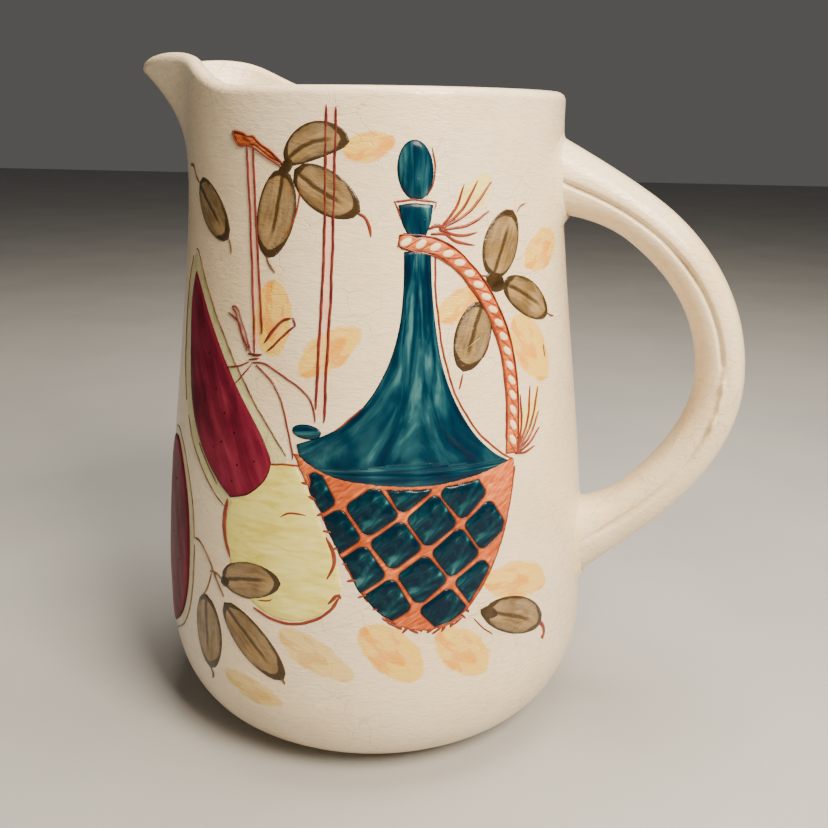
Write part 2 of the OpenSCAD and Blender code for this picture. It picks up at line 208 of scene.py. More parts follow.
# ---- Materials -----------------------------------------------------------------------------------
class Graph:
    """One node material, with short calls for the nodes that it uses."""

    def __init__(self, name, roughness, coat=0.0, specular=0.5):
        self.material = bpy.data.materials.new(name)
        self.material.use_nodes = True
        self.tree = self.material.node_tree
        self.shader = self.tree.nodes["Principled BSDF"]
        self.shader.inputs["Roughness"].default_value = roughness
        self.shader.inputs["Specular IOR Level"].default_value = specular
        self.shader.inputs["Coat Weight"].default_value = coat
        self.shader.inputs["Coat Roughness"].default_value = 0.06

    def add(self, kind, inputs=(), **settings):
        node = self.tree.nodes.new(kind)
        for key, value in settings.items():
            setattr(node, key, value)
        for key, value in dict(inputs).items():
            if isinstance(value, bpy.types.NodeSocket):
                self.tree.links.new(value, node.inputs[key])
            else:
                node.inputs[key].default_value = value
        return node

    def math(self, operation, a, b=0.0, clamp=False):
        return self.add("ShaderNodeMath", {0: a, 1: b}, operation=operation, use_clamp=clamp).outputs[0]

    def times(self, a, b):
        return self.math("MULTIPLY", a, b)

    def plus(self, a, b):
        return self.math("ADD", a, b)

    def minus(self, a, b):
        return self.math("SUBTRACT", a, b)

    def blend(self, share, a, b, kind="MIX"):
        return self.add(
            "ShaderNodeMix", {0: share, 6: a, 7: b}, data_type="RGBA", blend_type=kind
        ).outputs[2]

    def place(self, scale):
        """The object's own coordinates in millimetres, times a scale for each axis."""
        where = self.add("ShaderNodeTexCoord").outputs["Object"]
        return self.add(
            "ShaderNodeVectorMath", {0: where, 1: tuple(s / MM for s in scale)}, operation="MULTIPLY"
        ).outputs[0]

    def drawn(self):
        """A motif's own numbers: along the stroke, across it, distance from its edge, and share."""
        source = self.add("ShaderNodeAttribute", attribute_name="drawn")
        parts = self.add("ShaderNodeSeparateColor", {0: source.outputs["Color"]})
        return parts.outputs[0], parts.outputs[1], parts.outputs[2], source.outputs["Alpha"]

    def vector(self, x, y, z=0.0):
        return self.add("ShaderNodeCombineXYZ", {0: x, 1: y, 2: z}).outputs[0]

    def noise(self, vector, scale=1.0, detail=3.0, roughness=0.5, distortion=0.0):
        return self.add(
            "ShaderNodeTexNoise",
            {
                "Vector": vector, "Scale": scale, "Detail": detail, "Roughness": roughness,
                "Distortion": distortion,
            },
        ).outputs[0]

    def specks(self, scale):
        """Distance from the nearest of many scattered specks."""
        where = self.place((scale, scale, scale))
        return self.add("ShaderNodeTexVoronoi", {"Vector": where, "Scale": 1.0}).outputs[0]

    def stroke_path(self, along, across, stretch):
        """A motif's own numbers, each times its own scale."""
        return self.vector(self.times(along, stretch[0]), self.times(across, stretch[1]))

    def step(self, value, low, high, start=0.0, end=1.0):
        """A smooth step of value between low and high."""
        return self.add(
            "ShaderNodeMapRange",
            {"Value": value, "From Min": low, "From Max": high, "To Min": start, "To Max": end},
            interpolation_type="SMOOTHSTEP",
        ).outputs[0]

    def ramp(self, value, stops):
        node = self.add("ShaderNodeValToRGB", {0: value})
        band = node.color_ramp
        while len(band.elements) < len(stops):
            band.elements.new(0.5)
        for element, (at, colour) in zip(band.elements, stops):
            element.position = at
            element.color = (*colour, 1)
        return node.outputs[0]

    def bump(self, height, distance, strength=1.0, under=None):
        inputs = {"Height": height, "Distance": distance * MM, "Strength": strength}
        if under is not None:
            inputs["Normal"] = under
        return self.add("ShaderNodeBump", inputs).outputs[0]

    def finish(self, colour, normal=None):
        self.tree.links.new(colour, self.shader.inputs["Base Color"])
        if normal is not None:
            self.tree.links.new(normal, self.shader.inputs["Normal"])
        return self.material


IVORY = (0.84, 0.69, 0.47)
IVORY_WARM = (0.76, 0.59, 0.36)
IVORY_COOL = (0.82, 0.73, 0.57)
CRAZE = (0.44, 0.34, 0.21)


def glaze_layers(graph):
    """The ivory glaze: soft warm and cool patches, fine level ripples with painted shade in their troughs,
    hair-fine crazing and pinholes.
    """
    patches = graph.noise(graph.place((0.03, 0.03, 0.03)), detail=2.0)
    colour = graph.ramp(patches, [(0.3, IVORY_WARM), (0.5, IVORY), (0.72, IVORY_COOL)])
    colour = graph.blend(0.55, (*IVORY, 1), colour)
    ripples = graph.noise(graph.place((0.30, 0.30, 1.1)), detail=3.0, roughness=0.6, distortion=0.9)
    # Painted shade: the colour is darkened a little where the ripples are low, on top of their bump.
    painted_ripple_shade = graph.step(ripples, 0.36, 0.56, 0.92, 1.0)
    colour = graph.blend(1.0, colour, graph.vector(painted_ripple_shade, painted_ripple_shade, painted_ripple_shade), "MULTIPLY")
    bend = graph.noise(graph.place((0.12, 0.12, 0.12)), detail=2.0)
    bent = graph.add(
        "ShaderNodeVectorMath",
        {0: graph.place((0.12, 0.12, 0.17)), 1: graph.vector(bend, bend, bend)},
        operation="ADD",
    ).outputs[0]
    cracks = graph.add(
        "ShaderNodeTexVoronoi", {"Vector": bent, "Scale": 1.0}, feature="DISTANCE_TO_EDGE"
    ).outputs["Distance"]
    worn = graph.noise(graph.place((0.05, 0.05, 0.05)), detail=1.0)
    craze = graph.times(graph.step(cracks, 0.004, 0.016, 1.0, 0.0), graph.step(worn, 0.42, 0.62))
    colour = graph.blend(graph.times(craze, 0.22), colour, (*CRAZE, 1))
    spots = graph.specks(0.045)
    pinhole = graph.step(spots, 0.012, 0.026, 1.0, 0.0)
    colour = graph.blend(graph.times(pinhole, 0.55), colour, (*CRAZE, 1))
    relief = graph.minus(ripples, graph.times(craze, 0.5))
    relief = graph.minus(relief, pinhole)
    wavy = graph.noise(graph.place((0.06, 0.06, 0.09)), detail=1.0)
    normal = graph.bump(wavy, 0.9, 0.35)
    return colour, graph.bump(relief, 0.32, 0.7, normal)


def glaze_material(name="ivory_glaze", warm_spots=0.0):
    graph = Graph(name, roughness=0.22, coat=0.12, specular=0.4)
    colour, normal = glaze_layers(graph)
    if warm_spots:
        pools = graph.noise(graph.place((0.11, 0.11, 0.11)), detail=2.0)
        share = graph.times(graph.step(pools, 0.45, 0.7), warm_spots)
        colour = graph.blend(share, colour, (0.72, 0.56, 0.24, 1))
    return graph.finish(colour, normal)


def bare_clay_material():
    graph = Graph("bare_clay", roughness=0.85, specular=0.25)
    grain = graph.noise(graph.place((1.6, 1.6, 1.6)), detail=6.0, roughness=0.7)
    shades = [(0.3, (0.42, 0.32, 0.21)), (0.55, (0.58, 0.47, 0.33)), (0.8, (0.68, 0.58, 0.44))]
    colour = graph.ramp(grain, shades)
    rubbed = graph.noise(graph.place((0.08, 0.08, 0.08)), detail=3.0)
    colour = graph.blend(graph.step(rubbed, 0.5, 0.7, 0.0, 0.5), colour, (0.33, 0.26, 0.19, 1))
    return graph.finish(colour, graph.bump(grain, 0.15, 0.8))


def enamel_material(
    name, stops, streak=(0.10, 1.1), edge=(0.5, None), roughness=0.2, relief=0.10, contrast=1.0,
    swirl=0.8, specular=0.12,
):
    """Thick brushed enamel: streaks that follow the stroke, a shaded edge and tiny pits.

    edge is the width of the shaded rim in millimetres and its colour."""
    graph = Graph(name, roughness=roughness, coat=0.04, specular=specular)
    along, across, inner, _ = graph.drawn()
    path = graph.stroke_path(along, across, (streak[0] * 10, streak[1] * 10))
    streaks = graph.noise(path, detail=4.0, roughness=0.55, distortion=swirl)
    blots = graph.noise(graph.place((0.09, 0.09, 0.09)), detail=2.0)
    tone = graph.plus(graph.times(streaks, contrast), graph.times(blots, 0.45))
    tone = graph.minus(tone, 0.225 + (contrast - 1.0) / 2)
    colour = graph.ramp(tone, stops)
    if edge[1] is not None:
        rim = graph.step(inner, 0.02, edge[0] / 10, 1.0, 0.0)
        colour = graph.blend(graph.times(rim, 0.85), colour, (*edge[1], 1))
    pits = graph.specks(0.28)
    pit = graph.step(pits, 0.03, 0.09, 1.0, 0.0)
    height = graph.minus(streaks, pit)
    wavy = graph.noise(graph.place((0.2, 0.2, 0.2)), detail=1.0)
    normal = graph.bump(wavy, 0.35, 0.6)
    return graph.finish(colour, graph.bump(height, relief, 0.8, normal))


def leaf_material(name, fill, light, dark, outline):
    """A translucent leaf over the glaze: a broad dark edge that closes in at the tip, and a middle vein."""
    graph = Graph(name, roughness=0.22, coat=0.08, specular=0.32)
    along, across, inner, share = graph.drawn()
    base, normal = glaze_layers(graph)
    path = graph.stroke_path(along, across, (0.9, 5.0))
    streaks = graph.noise(path, detail=4.0, roughness=0.6, distortion=0.6)
    body = graph.ramp(streaks, [(0.34, fill), (0.62, light)])
    shadow = graph.step(inner, outline / 10, outline / 10 + 0.16, 0.55, 0.0)
    body = graph.blend(shadow, body, (*dark, 1))
    thin = graph.noise(graph.place((0.16, 0.16, 0.16)), detail=2.0)
    colour = graph.blend(graph.step(thin, 0.3, 0.7, 0.97, 0.86), base, body)
    ragged = graph.noise(graph.place((0.35, 0.35, 0.35)), detail=3.0)
    shaken = graph.times(graph.minus(ragged, 0.5), 0.16)
    width = graph.plus(graph.step(share, 0.70, 1.0, outline / 10, outline / 10 + 0.22), shaken)
    width = graph.plus(width, graph.step(share, 0.02, 0.20, 0.16, 0.0))
    rim = graph.step(graph.minus(inner, width), -0.035, 0.03, 1.0, 0.0)
    colour = graph.blend(graph.times(rim, 0.93), colour, (*dark, 1))
    vein = graph.math("ABSOLUTE", graph.plus(across, graph.times(shaken, 0.5)))
    vein = graph.times(graph.step(vein, 0.03, 0.085, 1.0, 0.0), graph.step(share, 0.62, 0.86, 1.0, 0.0))
    colour = graph.blend(graph.times(vein, 0.85), colour, (*dark, 1))
    height = graph.plus(graph.times(rim, 0.6), streaks)
    return graph.finish(colour, graph.bump(height, 0.08, 0.6, normal))


def wash_material(name, pale, strong, fade=2.2, strength=0.85):
    """A thin stain that soaks into the glaze: it fades out at its edges and is stronger in touches."""
    graph = Graph(name, roughness=0.22, coat=0.12, specular=0.4)
    along, across, inner, _ = graph.drawn()
    base, normal = glaze_layers(graph)
    path = graph.stroke_path(along, across, (1.0, 5.0))
    streaks = graph.noise(path, detail=4.0, roughness=0.6, distortion=0.5)
    blots = graph.noise(graph.stroke_path(along, across, (1.1, 2.4)), detail=2.0)
    touches = graph.step(blots, 0.51, 0.58)
    stain = graph.blend(touches, (*pale, 1), (*strong, 1))
    ragged = graph.noise(graph.place((0.22, 0.22, 0.22)), detail=2.0)
    edge = graph.plus(inner, graph.times(graph.minus(ragged, 0.56), fade / 6))
    share = graph.times(graph.step(edge, 0.0, fade / 16), graph.step(streaks, 0.2, 0.75, 0.75, 1.0))
    colour = graph.blend(graph.times(share, strength), base, stain)
    return graph.finish(colour, normal)


def line_material(name, dark, light):
    """A drawn line, dense where the brush was full and thin where it ran dry."""
    graph = Graph(name, roughness=0.25, coat=0.05, specular=0.25)
    along, across, _, _ = graph.drawn()
    dry = graph.noise(graph.stroke_path(along, across, (2.2, 3.0)), detail=4.0)
    colour = graph.ramp(dry, [(0.35, dark), (0.68, light)])
    return graph.finish(colour, graph.bump(dry, 0.05, 0.5))


# ---- The drawing's shapes ------------------------------------------------------------------------
def curve(points, per_span=8):
    """A smooth open curve through a list of points."""
    p = np.array(points, float)
    p = np.vstack([2 * p[0] - p[1], p, 2 * p[-1] - p[-2]])
    out = []
    for k in range(1, len(p) - 2):
        for t in np.arange(per_span) / per_span:
            out.append(
                0.5
                * (
                    2 * p[k]
                    + (p[k + 1] - p[k - 1]) * t
                    + (2 * p[k - 1] - 5 * p[k] + 4 * p[k + 1] - p[k + 2]) * t**2
                    + (3 * p[k] - p[k - 1] - 3 * p[k + 1] + p[k + 2]) * t**3
                )
            )
    return np.array(out + [p[-2]])


def outline(*sides):
    """A closed outline from smooth sides that meet at corners."""
    return np.vstack([curve(side)[:-1] if np.allclose(side[-1], after[0]) else curve(side)
                      for side, after in zip(sides, sides[1:] + sides[:1])])


def oval(middle, radii, tilt=0.0, count=40):
    t = np.arange(count) * 2 * math.pi / count
    x, y = radii[0] * np.cos(t), radii[1] * np.sin(t)
    c, s = math.cos(tilt), math.sin(tilt)
    return np.stack([middle[0] + c * x - s * y, middle[1] + s * x + c * y], axis=-1)


def leaf_axis(start, end, bow, t):
    start, end = np.array(start, float), np.array(end, float)
    across = unit(np.array([start[1] - end[1], end[0] - start[0]]))
    return start + (end - start) * t[:, None] + across * (4 * bow * t * (1 - t))[:, None]


def leaf_outline(start, end, half_width, bow=0.0, fullness=0.75, lean=0.0):
    """A leaf from stalk to tip. lean puts more of its width on one side."""
    t = np.linspace(0, 1, 19)
    axis = leaf_axis(start, end, bow, t)
    side = unit(np.gradient(axis, axis=0)) @ np.array([[0, 1], [-1, 0]])
    width = half_width * np.sin(math.pi * t**0.95) ** fullness
    left = axis + side * (width * (1 + lean))[:, None]
    right = axis - side * (width * (1 - lean))[:, None]
    return np.vstack([left, right[-2:0:-1]])


def distance_in(points, border):
    """How far each point is inside a closed border; negative outside."""
    nearest = np.full(len(points), 1e9)
    crossings = np.zeros(len(points), int)
    for a, b in zip(border, np.roll(border, -1, axis=0)):
        d = b - a
        t = np.clip(((points - a) @ d) / max(d @ d, 1e-9), 0, 1)
        nearest = np.minimum(nearest, np.linalg.norm(points - a - t[:, None] * d, axis=1))
        straddles = (a[1] > points[:, 1]) != (b[1] > points[:, 1])
        if abs(d[1]) > 1e-9:
            crossings += straddles & (points[:, 0] < a[0] + (points[:, 1] - a[1]) * d[0] / d[1])
    return np.where(crossings % 2 == 1, nearest, -nearest)


def within(border):
    return lambda points: distance_in(points, border)


COAT_SINK = 0.12
COAT_FILM = 0.015
WASH = {"height": 0.004, "film": 0.008}


def coat_mesh(inner, box, height, stroke, step, edge_width, relief, film):
    """Points, faces and numbers of one raised coat. inner gives the distance inside its edge.

    Its top stands a film off the wall and rises over edge_width, like a meniscus. Its underside is sunk
    in the wall. A wash is shaded flat, so that its edge doesn't look raised."""
    (a0, z0), (a1, z1) = box
    columns, rows = int((a1 - a0) / step) + 2, int((z1 - z0) / step) + 2
    a, z = np.meshgrid(a0 + np.arange(columns) * step, z0 + np.arange(rows) * step, indexing="ij")
    points = np.stack([a.ravel(), z.ravel()], axis=-1)
    depth = inner(points)
    ring = depth.reshape(columns, rows)
    corners = np.stack([ring[:-1, :-1], ring[1:, :-1], ring[1:, 1:], ring[:-1, 1:]])
    kept = corners.max(axis=0) > 0
    slope = unit(np.stack(np.gradient(ring, step), axis=-1).reshape(-1, 2))
    outer = depth < 0
    points[outer] -= slope[outer] * depth[outer][:, None]
    depth = np.maximum(depth, 0)

    index = np.arange(columns * rows).reshape(columns, rows)
    i, j = np.nonzero(kept)
    top = np.stack([index[i, j], index[i + 1, j], index[i + 1, j + 1], index[i, j + 1]], axis=-1)
    used, top = np.unique(top, return_inverse=True)
    top = top.reshape(-1, 4)
    points, depth = points[used], depth[used]
    count = len(points)
    padded = np.pad(kept, 1)
    walls = []
    borders = (((0, -1), (0, 1)), ((1, 0), (1, 2)), ((0, 1), (2, 3)), ((-1, 0), (3, 0)))
    for (di, dj), (first, second) in borders:
        bare = ~padded[i + 1 + di, j + 1 + dj]
        p, q = top[bare, first], top[bare, second]
        walls.append(np.stack([q, p, p + count, q + count], axis=-1))
    lift = height * (1 - np.exp(-depth / edge_width)) + relief(points) * np.minimum(depth / 1.5, 1)
    along, across, share = stroke(points)
    numbers = np.stack([along / 10, across / 10, depth / 10, share], axis=-1)
    solid = np.vstack([on_wall(points, lift + film), on_wall(points, -COAT_SINK)])
    faces = np.vstack([top, top[:, ::-1] + count] + walls)
    smooth = (np.arange(len(faces)) < 2 * len(top)) & (height > WASH["height"])
    return solid, faces, np.vstack([numbers, numbers]), smooth


def level_stroke(points):
    return points[:, 0], points[:, 1], np.zeros(len(points))


def upright_stroke(points):
    return points[:, 1], points[:, 0], np.zeros(len(points))


def axis_stroke(start, end, bow=0.0):
    """Numbers that follow a leaf's axis: along it, across it, and the share of its length."""
    start, end = np.array(start, float), np.array(end, float)
    length = np.linalg.norm(end - start)
    ahead = (end - start) / length
    across = np.array([-ahead[1], ahead[0]])

    def numbers(points):
        along = (points - start) @ ahead
        share = along / length
        return along, (points - start) @ across - 4 * bow * share * (1 - share), share

    return numbers


def smooth_relief(points):
    return 0 * points[:, 0]


def coat(
    name, parts, material, slot, height=0.4, replaces=(), step=0.5, edge_width=0.35,
    relief=smooth_relief, film=COAT_FILM,
):
    """One piece from several raised coats. Each part is (distance function, border, stroke)."""
    solids, faces, numbers, smooth, first = [], [], [], [], 0
    for inner, border, stroke in parts:
        low, high = border.min(axis=0) - step, border.max(axis=0) + step
        p, f, n, s = coat_mesh(inner, (low, high), height, stroke, step, edge_width, relief, film)
        solids.append(p)
        faces.append(f + first)
        numbers.append(n)
        smooth.append(s)
        first += len(p)
    return make_piece(
        name, np.vstack(solids), np.vstack(faces), material, replaces, np.vstack(numbers),
        np.concatenate(smooth),
    )


def simple_part(border, stroke=level_stroke):
    """A coat that fills one border."""
    return within(border), border, stroke


# ---- Strokes -------------------------------------------------------------------------------------
STROKE_PROFILE = np.array([-1.0, -0.8, -0.35, 0.35, 0.8, 1.0])


def stroke_mesh(points, width, height, taper, seed):
    """One drawn line: a rounded ribbon that narrows at its ends and shakes a little."""
    path = np.array(points, float)
    if len(path) == 2:
        path = path[0] + (path[1] - path[0]) * np.linspace(0, 1, 5)[:, None]
    path = curve(path, per_span=6)
    lengths = np.concatenate([[0], np.cumsum(np.linalg.norm(np.diff(path, axis=0), axis=1))])
    total = lengths[-1]
    count = max(6, int(total / 0.9))
    at = np.linspace(0, total, count)
    path = np.stack([np.interp(at, lengths, path[:, k]) for k in (0, 1)], axis=-1)
    side = unit(np.gradient(path, axis=0)) @ np.array([[0, 1], [-1, 0]])
    path = path + side * (0.12 * ripple(at / 4.0, at / 9.0, seed))[:, None]
    ends = np.minimum(at, total - at)
    half = width / 2 * np.clip(0.3 + 0.7 * np.sqrt(np.clip(ends / max(taper, 0.01), 0, 1)), 0.3, 1)
    half = half * (1 + 0.14 * ripple(at / 2.7, at / 6.0, seed + 2))
    flat = path[:, None] + side[:, None] * (half[:, None] * STROKE_PROFILE)[..., None]
    lift = height * np.sqrt(1 - (0.97 * STROKE_PROFILE) ** 2) + 0 * half[:, None]
    top = on_wall(flat, lift + 0.02)
    under = on_wall(flat[:, ::-1], -COAT_SINK)
    rings = np.concatenate([top, under], axis=1)
    columns = len(STROKE_PROFILE)
    sides = 2 * columns
    faces = [list(f) for f in ring_faces(count, sides)]
    last = (count - 1) * sides
    for k in range(columns - 1):
        faces.append([k + 1, k, sides - 1 - k, sides - 2 - k])
        faces.append([last + k, last + k + 1, last + sides - 2 - k, last + sides - 1 - k])
    across = half[:, None] * np.concatenate([STROKE_PROFILE, STROKE_PROFILE[::-1]])
    along = np.repeat(at[:, None], sides, 1)
    inner = half[:, None] - np.abs(across)
    numbers = np.stack([along / 10, across / 10, inner / 10, 0 * across], axis=-1)
    return rings.reshape(-1, 3), faces, numbers.reshape(-1, 4)


def strokes(name, lines, material, width=0.7, height=0.25, taper=2.0, replaces=()):
    """One piece of several drawn lines. A line is a list of points, or (points, width)."""
    solids, faces, numbers, first = [], [], [], 0
    for k, line in enumerate(lines):
        points, own_width = line if isinstance(line, tuple) else (line, width)
        p, f, n = stroke_mesh(points, own_width, height, taper, 1.7 * k)
        solids.append(p)
        faces += [[v + first for v in face] for face in f]
        numbers.append(n)
        first += len(p)
    return make_piece(name, np.vstack(solids), faces, material, replaces, np.vstack(numbers))


# ---- The ware ------------------------------------------------------------------------------------
AROUND = 216


def build_body(material):
    azimuth = np.arange(AROUND) * 2 * math.pi / AROUND
    grow = np.linspace(0, 1, 37)[:-1] ** 2
    outer_levels = np.concatenate([
        mix(UNDERSIDE, BELLY_HEIGHT, grow),
        np.linspace(BELLY_HEIGHT, RIM_HEIGHT - LIP_DEPTH, 51)[:-1],
        np.linspace(RIM_HEIGHT - LIP_DEPTH, RIM_HEIGHT - WALL / 2, 56)[:-1],
    ])
    inner_levels = np.concatenate([
        mix(FLOOR_TOP, BELLY_HEIGHT, grow[::2]),
        np.linspace(BELLY_HEIGHT, RIM_HEIGHT - LIP_DEPTH, 26)[:-1],
        np.linspace(RIM_HEIGHT - LIP_DEPTH, RIM_HEIGHT - WALL / 2, 56)[:-1],
    ])[::-1]
    rings = []
    for radius in np.linspace(4, FOOT_RADIUS - 1, 12):
        hollow = UNDERSIDE_HOLLOW * max(0.0, 1 - (radius / (FOOT_RADIUS - 8)) ** 2)
        rings.append(around_axis(radius + 0 * azimuth, azimuth, UNDERSIDE + hollow))
    for z in outer_levels:
        radius, height = outside(azimuth, z + 0 * azimuth)
        rings.append(around_axis(radius, azimuth, height))
    for turn in np.linspace(0, math.pi, 15):
        radius, height = outside(azimuth, RIM_HEIGHT - WALL / 2 + 0 * azimuth)
        rings.append(around_axis(
            radius - WALL / 2 + WALL / 2 * math.cos(turn), azimuth, height + WALL / 2 * math.sin(turn)
        ))
    for z in inner_levels:
        radius, height = inside(azimuth, z + 0 * azimuth)
        rings.append(around_axis(radius, azimuth, height))
    for radius in np.linspace(FOOT_RADIUS - WALL, 4, 11)[1:]:
        rings.append(around_axis(radius + 0 * azimuth, azimuth, FLOOR_TOP))
    points = np.vstack(rings)
    faces = [list(f) for f in ring_faces(len(rings), AROUND)]
    last = (len(rings) - 1) * AROUND
    points = np.vstack([points, [[0, 0, UNDERSIDE + UNDERSIDE_HOLLOW], [0, 0, FLOOR_TOP]]])
    faces += fan_faces(0, AROUND, len(points) - 2, flip=True)
    faces += fan_faces(last, AROUND, len(points) - 1, flip=False)
    return make_piece("pitcher_body", points, faces, material, ["body"])


def build_foot_ring(material):
    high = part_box("foot_ring")[1]
    outer, height = high.x / MM - 0.5, high.z / MM
    inner = outer - RING_WIDTH
    profile = [
        (inner - RING_BEVEL, height), (inner - 0.15, 1.6), (inner, RING_BEVEL), (inner + 0.3, 0.25),
        (inner + RING_BEVEL, 0), (outer - RING_BEVEL, 0), (outer - 0.3, 0.25), (outer, RING_BEVEL),
        (outer + 0.1, 1.6), (outer + 0.5, height),
    ]
    azimuth = np.arange(AROUND) * 2 * math.pi / AROUND
    rings = []
    for radius, z in profile:
        worn = 0.12 * ripple(9 * azimuth, 3 * azimuth, z) if 0 < z < height else 0 * azimuth
        rings.append(around_axis(radius + worn, azimuth, z))
    faces = ring_faces(len(rings), AROUND, looped=True)
    return make_piece("foot_ring_bare", np.vstack(rings), faces, material, ["foot_ring"])


def bezier(p, t):
    p = np.array(p, float)
    t = t[:, None]
    return (1 - t) ** 3 * p[0] + 3 * (1 - t) ** 2 * t * p[1] + 3 * (1 - t) * t**2 * p[2] + t**3 * p[3]


def strap_line(count):
    """Middle line of the strap in the plane y = 0, as [x, z], from the upper root to the lower one."""
    crown_x = BELLY_RADIUS + HANDLE_REACH
    crown_z = mix(LOWER_ROOT, UPPER_ROOT, 0.48)
    upper_x = float(wall_radius(np.array(UPPER_ROOT))) - ROOT_SINK
    lower_x = float(wall_radius(np.array(LOWER_ROOT))) - ROOT_SINK
    upper = [
        (upper_x, UPPER_ROOT), (mix(upper_x, crown_x, 0.67), UPPER_ROOT - 11.5),
        (crown_x, mix(crown_z, UPPER_ROOT, 0.42)), (crown_x, crown_z),
    ]
    lower = [
        (crown_x, crown_z), (crown_x, mix(crown_z, LOWER_ROOT, 0.36)),
        (mix(crown_x, lower_x, 0.43), LOWER_ROOT + 14), (lower_x, LOWER_ROOT),
    ]
    t = np.arange(count) / count
    return np.vstack([bezier(upper, t), bezier(lower, np.append(t, 1.0))])


def section_turns():
    """Angles round the strap, closer together at the groove along each side."""
    quarter = np.concatenate([np.linspace(0, 74, 10)[:-1], np.linspace(74, 90, 12)])
    half = np.concatenate([quarter, 180 - quarter[::-1][1:]])
    return np.radians(np.concatenate([half, 180 + half[1:-1]]))


def build_handle(material):
    line = strap_line(70)
    rows = len(line)
    ahead = unit(np.gradient(line, axis=0))
    share = np.arange(rows) / (rows - 1)
    ends = np.minimum(share, 1 - share)
    flare = ROOT_FLARE * np.clip(1 - ends / 0.14, 0, None) ** 2
    upright = ease(1 - ends / 0.2)
    turn = section_turns()
    c, s = np.cos(turn), np.sin(turn)
    rings = []
    for i in range(rows):
        at = share[i]
        thickness = STRAP_THICKNESS + flare[i] + 0.25 * math.sin(9 * at + 1)
        width = STRAP_WIDTH + flare[i] / 2 + 0.3 * math.sin(7 * at)
        out = thickness / 2 * np.sign(c) * np.abs(c) ** 0.85
        side = width / 2 * np.sign(s) * np.abs(s) ** 0.8
        # The groove: the outer half of the strap stands a little proud of the inner half
        fade = float(ease((at + 0.005) / 0.03) * ease((0.99 - at) / 0.05))
        broken = math.exp(-(((at - 0.47) / 0.018) ** 2))
        beaded = float(ease((at - 0.475) / 0.02) * ease((0.64 - at) / 0.05))
        depth = 1.15 + 0.25 * math.sin(31 * at) + 0.15 * math.sin(57 * at)
        deep = fade * depth * (1 - 0.85 * beaded) * (1 - broken)
        centre = -0.6 + 0.35 * math.sin(5 * at)
        groove = deep * np.exp(-(((out - centre) / 0.75) ** 2))
        lower = 0.42 * fade * (1 - ease((out - centre) / 1.2 + 0.5))
        lump = 1.0 + 0.3 * math.sin(130 * at) + 0.25 * math.sin(77 * at)
        bead = beaded * lump * np.exp(-(((out - centre - 0.3) / 0.8) ** 2))
        near_side = np.abs(s) > 0.75
        side = side - np.sign(side) * np.where(near_side, groove + lower - bead, lower * np.abs(s))
        square = np.array([-ahead[i, 1], ahead[i, 0]])
        plumb = np.array([0, 1 / ahead[i, 0]]) if abs(ahead[i, 0]) > 0.2 else square
        across = mix(square, plumb, upright[i])
        z = line[i, 1] + across[1] * out
        radius = wall_radius(z)
        wrap = np.sqrt(np.maximum(radius**2 - side**2, 0)) - wall_radius(np.array(line[i, 1]))
        x = line[i, 0] + across[0] * out + upright[i] * wrap
        rings.append(np.stack([x, side, z], axis=-1))
    count = len(turn)
    points = np.vstack(rings + [rings[0].mean(axis=0)[None], rings[-1].mean(axis=0)[None]])
    faces = [list(f) for f in ring_faces(rows, count)]
    faces += fan_faces(0, count, len(points) - 2, flip=True)
    faces += fan_faces((rows - 1) * count, count, len(points) - 1, flip=False)
    return make_piece("strap_handle", points, faces, material, ["handle"])


def build_slip_joint(name, node, middle, slant, drip, material, seed):
    """A skirt of slip on the wall round one root: highest against the strap, thinning outwards."""
    half_height = (STRAP_THICKNESS + ROOT_FLARE) / 2 / slant
    half_width = (STRAP_WIDTH + ROOT_FLARE / 2) / 2
    handle_arc = -FRONT * DRAWN_RADIUS
    arc_scale = DRAWN_RADIUS / float(wall_radius(np.array(middle)))
    turn = np.linspace(0, 2 * math.pi, 49)[:-1]
    power = 0.8

    def oblong(grow):
        y = (half_width + grow) * np.sign(np.cos(turn)) * np.abs(np.cos(turn)) ** power * arc_scale
        z = (half_height + grow) * np.sign(np.sin(turn)) * np.abs(np.sin(turn)) ** power
        return np.stack([handle_arc + y, middle + z], axis=-1)

    spread = 2.6 + 0.9 * ripple(3 * turn, 2 * turn, seed) + drip * np.clip(-np.sin(turn), 0, 1) ** 3
    border = oblong(spread)
    root = oblong(-1.2)

    def inner(points):
        return np.minimum(distance_in(points, border), 0.8 - distance_in(points, root))

    def relief(points):
        near = np.clip(1 + distance_in(points, root) / 4.2, 0, 1)
        return 2.3 * near**2.2 + 0.12 * ripple(points[:, 0] / 1.3, points[:, 1] / 1.6, seed) * near

    return coat(
        name, [(inner, border, level_stroke)], material, "glaze", height=0.12, replaces=[node], step=0.6,
        edge_width=0.5, relief=relief,
    )


# ---- The still life ------------------------------------------------------------------------------
TEAL = [(0.34, (0.001, 0.010, 0.028)), (0.50, (0.002, 0.025, 0.047)), (0.62, (0.010, 0.060, 0.082)),
        (0.76, (0.055, 0.160, 0.175))]
TEAL_DEEP = [(0.36, (0.001, 0.011, 0.024)), (0.53, (0.002, 0.027, 0.042)), (0.66, (0.012, 0.070, 0.085)),
             (0.80, (0.065, 0.180, 0.190))]
CORAL = [(0.30, (0.30, 0.050, 0.012)), (0.52, (0.50, 0.110, 0.030)), (0.74, (0.74, 0.25, 0.085))]
CREAM = [(0.30, (0.78, 0.56, 0.30)), (0.6, (0.88, 0.74, 0.48))]
CRIMSON = [(0.25, (0.055, 0.004, 0.012)), (0.47, (0.145, 0.012, 0.030)), (0.66, (0.22, 0.024, 0.050)),
           (0.85, (0.34, 0.06, 0.09))]
STRAW = [(0.30, (0.60, 0.52, 0.08)), (0.5, (0.72, 0.64, 0.16)), (0.75, (0.80, 0.73, 0.27))]
RUST = (0.15, 0.024, 0.012)
RUST_LIGHT = (0.26, 0.050, 0.022)
MAROON = (0.085, 0.010, 0.011)
BROWN = (0.075, 0.035, 0.018)
BROWN_LIGHT = (0.24, 0.14, 0.07)


